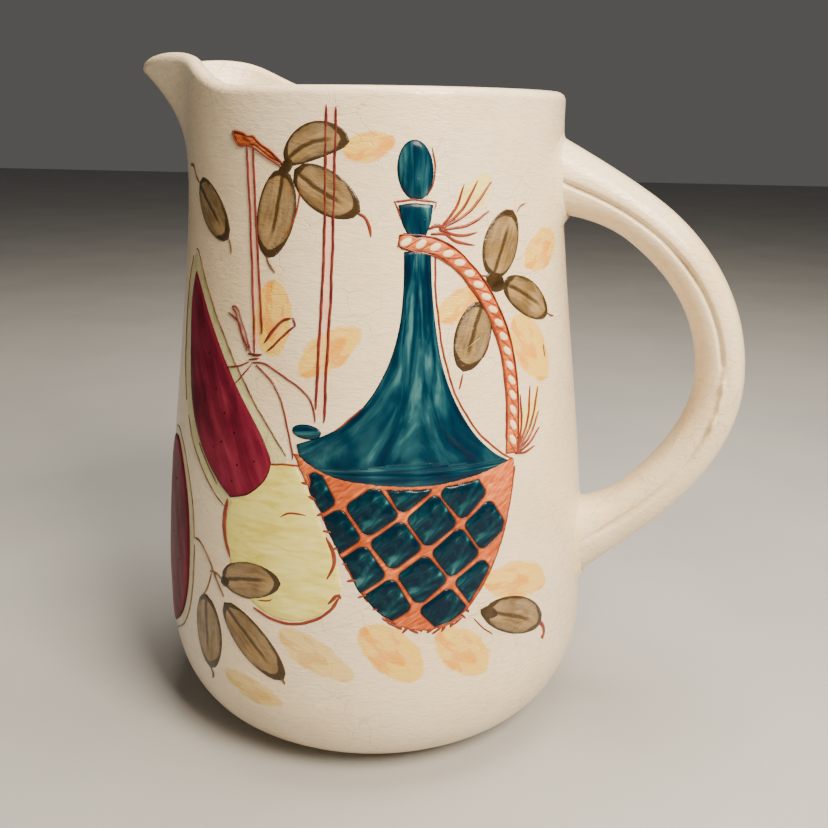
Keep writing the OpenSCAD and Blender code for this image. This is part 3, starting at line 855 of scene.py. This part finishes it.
def bottle_stroke(points):
    """Brush marks that run down the neck, fan out over the shoulders and lie level above the basket."""
    a, z = points[:, 0], points[:, 1]
    spread = np.interp(z, [96, 104, 110, 120, 130, 140, 160], [34, 30, 22, 12.5, 7.8, 5.4, 4.1])
    middle = np.interp(z, [96, 110, 130, 160], [11, 11, 13, 14])
    level = z < 102.4 + 0.8 * np.sin(a / 7)
    along = np.where(level, a * 0.8, z)
    across = np.where(level, z * 1.6, (a - middle) / spread * 6.5)
    return along, across, 0 * a


def build_bottle(teal, rust):
    left = [(10.2, 160.5), (9.9, 150), (8.6, 140), (5.4, 130), (-0.5, 120), (-9, 112.3), (-19.5, 107.6)]
    foot = [(-19.5, 107.6), (-17.5, 103.4), (-10, 99.4), (0, 97.5), (15, 96.4), (28, 97.6), (41, 100.3)]
    right = [(41, 100.3), (35.5, 104), (29.5, 110.5), (24.2, 120), (20.8, 130), (19.2, 140), (18.3, 150),
             (18, 160.5)]
    mouth = [(18, 160.5), (14, 160.9), (10.2, 160.5)]
    border = outline(left, foot, right, mouth)

    def relief(points):
        return 0.10 * ripple(bottle_stroke(points)[1] * 1.4, points[:, 1] / 7.0)

    coat("bottle_glass", [simple_part(border, bottle_stroke)], teal, "teal_enamel", height=0.5,
         replaces=["bottle_enamel"], relief=relief)
    ear = oval((-16.6, 111.4), (4.2, 2.1), tilt=-0.05)
    coat("bottle_highlight_blot", [simple_part(ear)], teal, "teal_enamel", height=0.4)
    stopper = oval((13.6, 181.4), (5.3, 7.7), tilt=0.08)
    coat("stopper_glass", [simple_part(stopper, upright_stroke)], teal, "teal_enamel", height=0.75,
         replaces=["bottle_stopper"], edge_width=0.9)
    collar = outline(
        [(8.6, 172.6), (13, 173.1), (18.8, 172.6)], [(18.8, 172.6), (18, 168), (16.6, 164.6)],
        [(16.6, 164.6), (14, 163.5), (11.4, 164.8)], [(11.4, 164.8), (9.6, 168), (8.6, 172.6)],
    )
    coat("collar_glass", [simple_part(collar, upright_stroke)], teal, "teal_enamel", height=0.5,
         replaces=["bottle_collar"], edge_width=0.5)
    strokes("bottle_outline", [
        ([(19.2, 160.5), (19.3, 150), (20.2, 140), (21.9, 130), (25.2, 120), (30.5, 111), (37, 104.2),
          (41.6, 101)], 0.6),
        ([(-0.9, 119.2), (-9.5, 111.5), (-14, 109.4)], 0.5),
        ([(18.4, 187.2), (19.4, 182), (18.6, 177.6), (16.8, 174.8)], 0.5),
        ([(7.4, 173.4), (13, 173.9), (19.6, 173.3)], 0.6),
        ([(7.4, 173.6), (8.4, 171.6), (9.4, 169)], 0.5),
        ([(19.8, 173.4), (19.2, 171.4)], 0.5),
    ], rust, height=0.22)


BASKET = outline(
    [(-20.2, 105), (-16.5, 97), (-13, 90), (-9.4, 82), (-6, 74.5), (-2, 66.5), (3, 59.8), (7.5, 55.6)],
    [(7.5, 55.6), (12.5, 54), (18, 53.6), (23.5, 55.2), (28, 60)],
    [(28, 60), (33, 67.5), (37.5, 77), (40.8, 88), (42.8, 99)],
    [(42.8, 99), (41.4, 101), (28, 98.4), (15, 97.2), (0, 98.2), (-10, 100.2), (-18, 104.4), (-20.2, 105)],
)
WEAVE_MIDDLE = np.array([15.5, 78.0])
WEAVE_UP = np.array([9.3, 6.8])
WEAVE_DOWN = np.array([6.5, -10.2])
CELL_REACH = 0.272  # from a cell's middle to its corners, as a share of a step of the weave


def basket_cells():
    """Cells of glass between the straps, each with rounded corners and its own hand-drawn skew."""
    draw = random.Random(12)
    rounding = 2.2
    cells = []
    for i in range(-5, 5):
        for j in range(-4, 4):
            middle = WEAVE_MIDDLE + (i + 0.5) * WEAVE_UP + (j + 0.5) * WEAVE_DOWN
            corners = []
            for su, sd in ((-1, -1), (1, -1), (1, 1), (-1, 1)):
                shake = np.array([draw.uniform(-0.45, 0.45), draw.uniform(-0.45, 0.45)])
                corners.append(middle + (su * WEAVE_UP + sd * WEAVE_DOWN) * CELL_REACH + shake)
            border = np.array(corners)

            def inner(points, border=border):
                margin = np.interp(points[:, 0] - 0.32 * (80 - points[:, 1]), [-6, 6], [0.1, 0.8])
                margin = margin + 1.3 * ease((points[:, 1] - 94) / 4)
                worn = 0.3 * ripple(points[:, 0] / 3, points[:, 1] / 3)
                room = distance_in(points, BASKET) - margin - worn
                return np.minimum(distance_in(points, border) + rounding, room)

            probe = np.vstack([mix(middle, c, t) for c in corners for t in (0, 0.3, 0.6)])
            if inner(probe).max() > 1.0:
                turn = math.atan2(WEAVE_UP[1], WEAVE_UP[0]) + draw.uniform(-0.3, 0.3)
                way = np.array([math.cos(turn), math.sin(turn)])
                cells.append((inner, border, axis_stroke(middle - 5 * way, middle + 5 * way)))
    return cells


def build_basket(coral, teal_deep, rust):
    cells = basket_cells()

    def straps(points):
        room = distance_in(points, BASKET) + 0.3 * ripple(points[:, 0] / 1.1, points[:, 1] / 1.3)
        for inner, _, _ in cells:
            room = np.minimum(room, 0.15 - inner(points))
        return room

    def strap_stroke(points):
        up, down = unit(WEAVE_UP), unit(WEAVE_DOWN)
        return points @ up, points @ down, 0 * points[:, 0]

    coat("basket_straps", [(straps, BASKET, strap_stroke)], coral, "coral_enamel", height=0.32,
         replaces=["basket_weave"], step=0.38, edge_width=0.3)
    padded = [(inner, np.vstack([border + 2.5, border - 2.5]), stroke) for inner, border, stroke in cells]

    def swell(points):
        return 0.10 * ripple(points[:, 0] / 1.4, points[:, 1] / 1.9)

    coat("basket_glass", padded, teal_deep, "teal_enamel", height=0.55, replaces=["basket_cells"],
         step=0.45, edge_width=0.9, relief=swell)
    draw = random.Random(5)
    hairs = []
    left = curve([(-16.5, 97), (-13, 90), (-9.4, 82), (-6, 74.5), (-2, 66.5), (3, 59.8)], per_span=5)
    for p in left[::3]:
        way = np.array([-1.0, draw.uniform(-0.5, 0.5)])
        hairs.append(([p - 0.9 * way, p + way * draw.uniform(0.3, 1.5)], draw.uniform(0.5, 0.8)))
    under = curve([(5, 57.5), (9, 54.8), (14, 53.6), (19, 53.2), (24, 55.2), (27.5, 58.5)], per_span=5)
    for p in under[::2]:
        way = np.array([draw.uniform(-1.6, 1.6), -1.0])
        hairs.append(([p - 0.9 * way, p + way * draw.uniform(0.1, 1.0)], draw.uniform(0.6, 1.1)))
    hairs.append(([(42.9, 98.5), (41.0, 90), (38.0, 79.2), (33.4, 68.6), (28.2, 60.6), (25.4, 57.4)], 0.7))
    hairs.append(([(-18.5, 103.2), (-15, 97.5)], 0.5))
    strokes("basket_edge_lines", hairs, rust, height=0.3, taper=0.8)


ROPE = [(8.6, 163.6), (12, 162.9), (16, 162.4), (20, 161.4), (25, 158.6), (30, 154), (35, 147.8),
        (39, 140.6),
        (41.9, 132), (43.1, 122), (42.9, 112), (41.9, 102.2)]
ROPE_WIDTH = 4.4


def along_path(path, at):
    """Points and unit directions at distances along a smooth path."""
    lengths = np.concatenate([[0], np.cumsum(np.linalg.norm(np.diff(path, axis=0), axis=1))])
    way = unit(np.gradient(path, axis=0))
    where = np.stack([np.interp(at, lengths, path[:, k]) for k in (0, 1)], axis=-1)
    ahead = unit(np.stack([np.interp(at, lengths, way[:, k]) for k in (0, 1)], axis=-1))
    return where, ahead, lengths[-1]


def build_rope(coral, cream, rust, blush):
    path = curve(ROPE)
    total = along_path(path, np.array([0.0]))[2]
    at = np.linspace(0, total, 60)
    where, ahead, _ = along_path(path, at)
    side = ahead @ np.array([[0, 1], [-1, 0]])
    half = ROPE_WIDTH / 2 * (1 + 0.07 * ripple(at / 2, at / 3))
    half[0] *= 0.55
    border = np.vstack([where + side * half[:, None], (where - side * half[:, None])[::-1]])
    coat("rope_ground", [simple_part(border)], coral, "coral_enamel", height=0.45,
         replaces=["carrying_rope"],
         step=0.4, edge_width=0.45)
    spacing = 4.3
    slant = math.radians(36)
    eyes = []
    centres, ways, _ = along_path(path, np.arange(2.2, total - 1.0, spacing))
    for p, way in zip(centres, ways):
        eyes.append(simple_part(oval(p, (2.25, 1.4), tilt=math.atan2(way[1], way[0]) + slant, count=20)))
    coat("rope_strands", eyes, cream, "straw_enamel", height=0.62, step=0.3, edge_width=0.35)
    twists, turns, _ = along_path(path, np.arange(2.2 + spacing / 2, total - 1.0, spacing))
    lean = np.array([[math.cos(slant), math.sin(slant)], [-math.sin(slant), math.cos(slant)]])
    edges = [([p - 2.3 * (way @ lean), p + 2.3 * (way @ lean)], 0.6) for p, way in zip(twists, turns)]
    edges += [
        (list(map(tuple, (where + side * (half + 0.1)[:, None])[::4])), 0.5),
        (list(map(tuple, (where - side * (half + 0.1)[:, None])[::4])), 0.5),
    ]
    strokes("rope_outline", edges, rust, height=0.5, taper=0.5)
    fans = []
    for knot, strands in (
        ((20.5, 166.2), ((56, 14), (45, 17.5), (35, 21), (15, 17), (-6, 12), (-22, 12))),
        ((43.4, 101.8), ((80, 17), (68, 20), (58, 21), (44, 15), (28, 12), (5, 8))),
    ):
        for degrees, reach in strands:
            turn = math.radians(degrees)
            way = np.array([math.cos(turn), math.sin(turn)])
            curl = np.array([way[1], -way[0]]) * 0.09 * reach
            knot_at = np.array(knot)
            fans.append(([knot_at, knot_at + way * reach * 0.5 + curl, knot_at + way * reach], 0.85))
    fans.append(([(17.5, 166.4), (20, 167.2), (22.5, 166.2)], 1.6))
    fans.append(([(18, 165), (21, 165.2), (24, 164.6)], 1.1))
    strokes("tassel_strands", fans, rust, height=0.3, taper=5.0, replaces=["rope_tassels"])
    glow = [
        simple_part(leaf_outline((23, 168), (39, 181), 4.8)),
        simple_part(leaf_outline((44, 103), (56, 121), 4.8)),
    ]
    coat("tassel_blush", glow, blush, "straw_enamel", **WASH, step=0.6)


def build_fruit(crimson, straw, rind, seeds_dark, rust, brown):
    slice_one = outline(
        [(-65.5, 151), (-60, 145.6), (-50, 133.8), (-40, 121.2), (-31, 109.8), (-27.2, 103)],
        [(-27.2, 103), (-26.8, 99.6), (-29, 95), (-34, 90.6), (-40.5, 88.2)],
        [(-40.5, 88.2), (-46, 92), (-53, 98.5), (-60, 107.5), (-64.4, 118), (-66.8, 130), (-68, 142),
         (-65.5, 151)],
    )
    slice_two = outline(
        [(-80, 96.5), (-74, 97.2), (-69, 94), (-64.5, 87.5), (-61.2, 79), (-59.8, 68), (-60.2, 56),
         (-62.8, 46),
         (-68, 38), (-77, 31)],
        [(-77, 31), (-83, 36), (-87, 48), (-88.5, 64), (-87, 80), (-84, 91), (-80, 96.5)],
    )
    parts = [
        simple_part(slice_one, axis_stroke((-66, 150), (-36, 90))),
        simple_part(slice_two, axis_stroke((-77, 97), (-75, 32))),
    ]

    def relief(points):
        return 0.09 * ripple(points[:, 0] / 4, points[:, 1] / 9)

    coat("melon_flesh", parts, crimson, "crimson_enamel", height=0.5, replaces=["fruit_slices"],
         step=0.6, relief=relief)
    outer_one = outline(
        [(-66, 156.5), (-58, 148.6), (-45, 132.6), (-32, 116), (-21.5, 103.2)],
        [(-21.5, 103.2), (-25, 96), (-33, 88), (-42, 85)],
        [(-42, 85), (-52, 92), (-61, 100.5), (-67.5, 112), (-71.4, 125), (-73, 140), (-70.6, 151),
         (-66, 156.5)],
    )
    outer_two = outline(
        [(-80, 100), (-73, 100.4), (-66, 96), (-60.6, 88), (-57.6, 78), (-56.6, 67), (-57.4, 55),
         (-60.2, 44.5),
         (-66, 35.5), (-77, 28)],
        [(-77, 28), (-86, 34), (-90.5, 48), (-92, 64), (-90.5, 82), (-86.5, 94), (-80, 100)],
    )
    rinds = [
        simple_part(outer_one, axis_stroke((-66, 155), (-32, 87))),
        simple_part(outer_two, axis_stroke((-77, 100), (-76, 29))),
    ]
    coat("melon_rind", rinds, rind, "straw_enamel", **WASH, step=0.8)
    strokes("rind_lines", [
        ([(-66.3, 157), (-63.8, 156), (-58.5, 149.6), (-45, 133), (-32, 116.3), (-22.2, 104)], 0.6),
        ([(-69, 154.6), (-72.8, 146), (-73.4, 135), (-71.6, 123), (-67.4, 111)], 0.5),
        ([(-64.5, 107), (-60, 100), (-52, 92), (-46, 87), (-42.6, 85.2)], 0.6),
        ([(-56, 100.8), (-51, 95.4), (-46, 91)], 0.4),
        ([(-78, 99.6), (-72.5, 100), (-66, 95.4), (-60.6, 87), (-57.6, 77), (-56.8, 70)], 0.55),
        ([(-56.6, 68), (-57.6, 55), (-60.4, 44.5), (-66, 36), (-75, 29.6)], 0.6),
    ], brown, height=0.2, taper=4, replaces=["slice_rinds"])
    draw = random.Random(21)
    seeds = []
    seed_places = (
        (-57, 137), (-52, 128), (-48, 119), (-50, 113), (-43, 112), (-44, 105), (-40, 107), (-37, 99),
        (-47, 101), (-39, 93), (-33, 101), (-72, 84), (-68, 74), (-74, 66), (-68, 58), (-74, 48),
    )
    for a, z in seed_places:
        tilt = draw.uniform(0.6, 1.4)
        spot = (a + draw.uniform(-1, 1), z + draw.uniform(-1, 1))
        seeds.append(simple_part(oval(spot, (0.85, 0.6), tilt, 12)))
    coat("melon_seeds", seeds, seeds_dark, "crimson_enamel", height=0.75, step=0.28, edge_width=0.3)

    round_one = outline(
        [(-29, 100.6), (-24, 101.4), (-19.5, 101.6)],
        [(-19.5, 101.6), (-15, 93), (-11.5, 84), (-8, 75), (-6.4, 67)],
        [(-6.4, 67), (-9.5, 61), (-15, 56.6), (-23, 55), (-31, 57.6), (-37.5, 64), (-41, 72), (-42, 80),
         (-40.4, 87.4)],
        [(-40.4, 87.4), (-35, 90), (-31, 94.6), (-29, 100.6)],
    )
    coat("round_fruit_skin", [simple_part(round_one, level_stroke)], straw, "straw_enamel", height=0.16,
         replaces=["round_fruit"], step=0.6)
    strokes("round_fruit_lines", [
        ([(-41.4, 87.6), (-42.5, 82), (-42, 76), (-40, 70)], 1.5),
        ([(-31.5, 56.6), (-26, 54.6), (-20, 54.2), (-14, 56.4), (-9.5, 60), (-7, 64.4)], 0.9),
        ([(-10, 62), (-7.6, 65), (-6.6, 64)], 1.3),
        ([(-28.4, 100.8), (-23, 101.4), (-18, 101.6)], 0.6),
        ([(-23.4, 86.2), (-20.5, 87.8), (-16, 87.8)], 0.8),
        ([(-10.6, 82), (-8.6, 77), (-8.8, 73), (-10.4, 69.6)], 1.1),
    ], rust, height=0.25, taper=3)


OLIVE_LEAVES = [
    # start, end, half width, bow
    ((-24.5, 182.6), (-5.0, 188.4), 4.5, 2.8),
    ((-25.0, 181.4), (-30.6, 157.6), 6.1, 0.6),
    ((-21.5, 181.2), (-2.0, 170.8), 5.4, -0.8),
    ((-64.5, 175.6), (-45.8, 161.6), 5.5, 0.6),
    ((37.6, 152.4), (46.6, 170.4), 6.3, 0.2),
    ((41.5, 151.0), (62.8, 139.6), 4.9, 0.6),
    ((34.0, 146.4), (27.0, 127.6), 5.6, -0.4),
    ((-43.0, 61.6), (-22.6, 66.2), 5.6, 1.3),
    ((-50.4, 54.2), (-49.8, 28.6), 5.9, 0.0),
    ((-42.4, 54.6), (-22.6, 35.0), 5.6, 0.6),
    ((31.4, 56.6), (53.2, 44.6), 5.5, 0.7),
]


def build_leaves(olive, joint, brown, rust, coral):
    for k, (start, end, half_width, bow) in enumerate(OLIVE_LEAVES):
        border = leaf_outline(start, end, 1.05 * half_width, bow, fullness=0.5, lean=0.06 * (-1) ** k)
        coat(
            f"olive_leaf_{k + 1}", [simple_part(border, axis_stroke(start, end, bow))], olive,
            "olive_enamel",
            height=0.24, replaces=["olive_leaves"] if k == 0 else (), step=0.45, edge_width=0.25,
        )
    blots = [
        simple_part(leaf_outline((-26.6, 179.6), (-21.6, 184.0), 1.7)),
        simple_part(leaf_outline((35.4, 153.4), (42.4, 149.4), 2.9)),
        simple_part(leaf_outline((30.6, 57.2), (36.4, 53.6), 2.2)),
        simple_part(leaf_outline((-43.6, 60.6), (-39.6, 62.8), 1.9)),
    ]
    coat("leaf_joints", blots, joint, "brown_line", height=0.35, step=0.35)
    strokes("leaf_stalks", [
        ([(-75, 178.6), (-70.5, 178.8), (-68, 177), (-64.4, 175.4)], 0.8),
        ([(-46, 161.8), (-45, 160.6), (-44.4, 157.8)], 0.7),
        ([(-30.4, 158.2), (-29.4, 156), (-27.4, 154)], 0.8),
        ([(-56.4, 70.4), (-53.4, 70.2), (-49, 66.4), (-45.6, 61.4), (-42.4, 56.4)], 0.8),
        ([(-48.2, 62.6), (-45, 62.8), (-42.6, 61.6)], 0.7),
        ([(-47.6, 62.2), (-49.4, 57), (-51.4, 53.8), (-54, 51)], 0.6),
        ([(-49.4, 29), (-48.6, 27), (-49.4, 25)], 0.9),
        ([(-23.4, 36), (-22.2, 34)], 0.8),
        ([(48.2, 170), (50, 171.4), (52.2, 172)], 0.5),
        ([(62.6, 139.8), (64.6, 138.8), (66.6, 138.4)], 0.7),
        ([(34, 153.6), (37, 152.8)], 0.5),
        ([(58.6, 131.4), (59, 129), (59.4, 127.4)], 0.5),
    ], brown, height=0.25, taper=1.5, replaces=["leaf_stems"])
    strokes("leaf_red_tails", [
        ([(-3, 170.4), (-0.8, 169.4), (0.4, 167), (1.0, 164.4)], 0.9),
        ([(-19.6, 177.6), (-20.2, 172), (-22.4, 166.6), (-25.6, 162.4)], 0.5),
        ([(26.8, 127.2), (26.4, 125.4), (25.6, 123)], 0.6),
        ([(52, 45.6), (54, 43.4), (54.6, 40.6), (54, 38.6)], 1.3),
        ([(53.8, 40.2), (54, 39)], 2.1),
        ([(28.6, 55), (31, 51.6), (34.6, 48)], 0.4),
        ([(-30, 59.4), (-26.6, 60.2), (-25.6, 61)], 0.6),
        ([(33.6, 131), (35.4, 134), (36.2, 137.6)], 0.4),
    ], rust, height=0.25, taper=1.5)
    twig = outline(
        [(-44, 190.4), (-40, 189.8), (-35.6, 189.2), (-33.6, 187.8), (-29, 185.2), (-25, 182.2)],
        [(-25, 182.2), (-30, 184.2), (-35, 186.8), (-39, 186.8), (-41.6, 187), (-44, 190.4)],
    )
    coat("twig_ground", [simple_part(twig)], coral, "coral_enamel", height=0.3, step=0.3)
    strokes("twig_lines", [
        ([(-44.2, 190.4), (-40, 190.1), (-37.6, 189.2), (-35.4, 189.4), (-33.4, 187.8), (-29, 185.4),
          (-24.8, 182.4)], 0.5),
        ([(-44.2, 190), (-42.6, 187.8), (-41, 186.8), (-36.8, 186.8), (-31.4, 184.4), (-25.4, 181.8)], 0.6),
        ([(-39.6, 189), (-37.6, 188.4), (-36, 187.8)], 0.9),
    ], rust, height=0.4, taper=1.2)


OCHRE_LEAVES = [
    ((-8.0, 185.6), (8.6, 188.6), 3.7, 0.0),
    ((-27.2, 152.6), (-28.0, 130.0), 6.2, -0.4),
    ((-19.4, 126.6), (-1.4, 140.4), 4.9, 0.6),
    ((19.8, 141.4), (34.4, 149.2), 4.0, 1.0),
    ((50.4, 155.0), (72.4, 160.6), 5.6, 0.8),
    ((45.2, 142.0), (60.6, 120.6), 6.6, -0.6),
    ((30.4, 65.6), (55.6, 57.4), 5.6, 1.4),
    ((-0.6, 57.0), (14.6, 37.6), 6.2, -0.6),
    ((19.0, 54.0), (33.4, 35.6), 5.8, -0.4),
]
PALE_LEAVES = [
    ((-24.4, 52.6), (-2.8, 38.6), 4.9, -0.6),
    ((-43.4, 31.6), (-22.4, 26.6), 4.2, -0.6),
]


def build_washes(ochre, pale, pink):
    for k, (start, end, half_width, bow) in enumerate(OCHRE_LEAVES):
        border = leaf_outline(start, end, half_width + 0.8, bow, fullness=0.55)
        coat(
            f"ochre_leaf_{k + 1}", [simple_part(border, axis_stroke(start, end, bow))], ochre, "ochre_wash",
            **WASH, replaces=["ochre_leaves"] if k == 0 else (), step=0.7,
        )
    for k, (start, end, half_width, bow) in enumerate(PALE_LEAVES):
        border = leaf_outline(start, end, half_width + 0.8, bow, fullness=0.55)
        coat(f"pale_leaf_{k + 1}", [simple_part(border, axis_stroke(start, end, bow))], pale, "ochre_wash",
             **WASH, step=0.7)
    bands = [
        np.array([(-38.2, 187), (-35.4, 187), (-31.2, 136), (-33.6, 131.6)]),
        np.array([(-11.6, 197), (-8.8, 197), (-11.4, 116), (-14.0, 116)]),
    ]
    coat("string_blush", [simple_part(b, upright_stroke) for b in bands], pink, "straw_enamel", **WASH,
         step=0.6)


def build_strings(maroon):
    strokes("string_lines", [
        ([(-38.2, 187), (-36.6, 168), (-35, 148), (-33.6, 131.6)], 0.65),
        ([(-35.6, 187), (-34.6, 170), (-32.6, 150), (-31.2, 137)], 0.65),
        ([(-11.6, 197.4), (-12, 186), (-12.4, 160), (-13.6, 132), (-14.0, 118)], 0.8),
        ([(-8.8, 197), (-9.4, 180), (-10.2, 150), (-11.2, 130), (-11.6, 114.4)], 0.8),
    ], maroon, height=0.35, taper=3, replaces=["string_pairs"])
    strokes("bow_lines", [
        ([(-34.6, 131), (-38, 135.4), (-40, 139), (-44.6, 141.4)], 0.6),
        ([(-36.4, 131.6), (-39.4, 137), (-41.2, 141.4), (-43.2, 143.2), (-40.8, 143), (-37.8, 138),
          (-35.4, 132.6)], 0.5),
        ([(-30.4, 134.6), (-27.4, 138.6), (-24.6, 141.2), (-21.8, 142.2)], 0.9),
        ([(-29.4, 132.4), (-25.8, 135.6), (-22.8, 138.4), (-20.6, 140.2)], 0.7),
        ([(-21.4, 142.4), (-20.6, 140)], 0.8),
        ([(-36, 131), (-33, 130.9), (-31, 131.4)], 0.9),
        ([(-35.6, 129.4), (-32, 130.2)], 0.6),
        ([(-34.6, 128.6), (-30, 128.8), (-23, 125.8), (-17.6, 122.4), (-15, 119), (-14, 114.4)], 0.55),
        ([(-33, 128.2), (-27.6, 124.4), (-24.4, 119.4), (-22.4, 113), (-20.8, 106.6), (-20.2, 103.4)], 0.5),
        ([(-44, 126), (-40, 126.8), (-35.4, 128.8)], 0.5),
        ([(-40.4, 122), (-37, 125.4), (-34.6, 128)], 0.45),
    ], maroon, height=0.3, taper=2, replaces=["string_bow"])


# ---- Stage ---------------------------------------------------------------------------------------
CAMERA_TURN = math.radians(12)
CAMERA_AT = (4.5, -306.0, 192.0)
CAMERA_ASIDE = math.radians(1.45)
CAMERA_DOWN = math.radians(17.3)
CAMERA_ROLL = math.radians(0.66)
SENSOR = 36.0
LENS = 41.2


def build_camera():
    data = bpy.data.cameras.new("camera")
    data.sensor_width = SENSOR
    data.lens = LENS
    data.clip_start = 0.01
    camera = bpy.data.objects.new("camera", data)
    bpy.context.scene.collection.objects.link(camera)
    place = Matrix.Translation([v * MM for v in CAMERA_AT]) @ Matrix.Rotation(-CAMERA_ASIDE, 4, "Z")
    place = place @ Matrix.Rotation(math.pi / 2 - CAMERA_DOWN, 4, "X")
    roll = Matrix.Rotation(CAMERA_ROLL, 4, "Z")
    camera.matrix_world = Matrix.Rotation(CAMERA_TURN, 4, "Z") @ place @ roll
    bpy.context.scene.camera = camera


def add_area_light(name, place, target, size, power, colour):
    data = bpy.data.lights.new(name, "AREA")
    data.shape = "RECTANGLE"
    data.size, data.size_y = size
    data.energy = power
    data.color = colour
    light = bpy.data.objects.new(name, data)
    bpy.context.scene.collection.objects.link(light)
    ahead = (Matrix.Translation(target).translation - Matrix.Translation(place).translation).normalized()
    light.matrix_world = Matrix.Translation(place) @ ahead.to_track_quat("-Z", "Y").to_matrix().to_4x4()


def build_stage():
    mesh = bpy.data.meshes.new("studio_floor")
    half = 3.0
    corners = [(-half, -half, 0), (half, -half, 0), (half, half, 0), (-half, half, 0)]
    mesh.from_pydata(corners, [], [(0, 1, 2, 3)])
    graph = Graph("pale_floor", roughness=0.7, specular=0.1)
    grain = graph.noise(graph.place((0.01, 0.01, 0.01)), detail=3.0)
    greys = [(0.3, (0.35, 0.35, 0.35)), (0.7, (0.39, 0.39, 0.385))]
    mesh.materials.append(graph.finish(graph.ramp(grain, greys)))
    floor = bpy.data.objects.new("studio_floor", mesh)
    bpy.context.scene.collection.objects.link(floor)
    world = bpy.data.worlds.new("studio")
    world.use_nodes = True
    world.node_tree.nodes["Background"].inputs["Color"].default_value = (0.86, 0.83, 0.79, 1)
    world.node_tree.nodes["Background"].inputs["Strength"].default_value = 0.11
    bpy.context.scene.world = world
    add_area_light("key", (0.43, -0.40, 0.62), (0, 0, 0.12), (0.30, 0.34), 16.8, (1.0, 0.86, 0.67))
    add_area_light("top", (0.12, 0.05, 0.80), (0, 0, 0.15), (0.4, 0.4), 8.5, (1.0, 0.90, 0.76))
    add_area_light("fill", (-0.25, -0.85, 0.60), (0, 0, 0.10), (0.3, 0.3), 0.8, (1.0, 0.82, 0.64))


# ---- Build ---------------------------------------------------------------------------------------
build_camera()
build_stage()

glaze = glaze_material()
build_body(glaze)
build_foot_ring(bare_clay_material())
build_handle(glaze)
build_slip_joint("upper_slip", "upper_slip_joint", UPPER_ROOT, 0.95, 0.0, glaze, 0.4)
build_slip_joint(
    "lower_slip", "lower_slip_joint", LOWER_ROOT, 0.86, 1.0,
    glaze_material("pooled_glaze", warm_spots=0.55), 2.2,
)

rust = line_material("rust_line_enamel", RUST, RUST_LIGHT)
brown = line_material("brown_line_enamel", BROWN, BROWN_LIGHT)
joint = line_material("leaf_joint_enamel", (0.024, 0.014, 0.005), (0.060, 0.036, 0.013))
maroon = line_material("maroon_line_enamel", MAROON, (0.20, 0.035, 0.030))
teal = enamel_material("teal_glass", TEAL, streak=(0.045, 0.34), edge=(0.45, (0.002, 0.012, 0.022)),
                       contrast=1.15)
teal_deep = enamel_material(
    "deep_teal_glass", TEAL_DEEP, streak=(0.14, 0.34), edge=(0.5, (0.002, 0.013, 0.02)), contrast=1.3
)
coral = enamel_material("coral_paste", CORAL, streak=(0.3, 1.0), edge=(0.6, RUST), roughness=0.35,
                        relief=0.06)
cream = enamel_material("cream_paste", CREAM, streak=(0.3, 1.0), edge=(0.8, RUST), roughness=0.3,
                        relief=0.04)
crimson = enamel_material("crimson_glass", CRIMSON, streak=(0.03, 0.16), edge=(0.9, (0.075, 0.006, 0.014)),
                          contrast=1.0,
                          specular=0.03, roughness=0.35)
straw = enamel_material("straw_paste", STRAW, streak=(0.12, 0.5), roughness=0.16, relief=0.04)
seeds_dark = enamel_material("seed_glass", [(0.3, (0.008, 0.001, 0.002)), (0.7, (0.03, 0.004, 0.006))],
                             specular=0.06)
olive = leaf_material("olive_leaf", (0.095, 0.052, 0.014), (0.27, 0.16, 0.047), (0.034, 0.018, 0.005),
                      outline=0.65)
ochre = wash_material("ochre_stain", (0.83, 0.51, 0.045), (0.78, 0.33, 0.004), fade=1.5, strength=0.98)
pale = wash_material("pale_stain", (0.72, 0.50, 0.11), (0.62, 0.37, 0.04), fade=1.6, strength=0.85)
pink = wash_material("pink_stain", (0.86, 0.48, 0.34), (0.84, 0.42, 0.29), fade=0.2, strength=0.85)
rind = wash_material("rind_stain", (0.56, 0.55, 0.24), (0.44, 0.46, 0.16), fade=0.5, strength=0.8)
blush = wash_material("straw_stain", (0.86, 0.72, 0.18), (0.86, 0.66, 0.12), fade=2.6, strength=0.9)

build_washes(ochre, pale, pink)
build_fruit(crimson, straw, rind, seeds_dark, rust, brown)
build_bottle(teal, rust)
build_basket(coral, teal_deep, rust)
build_rope(coral, cream, rust, blush)
build_leaves(olive, joint, brown, rust, coral)
build_strings(maroon)
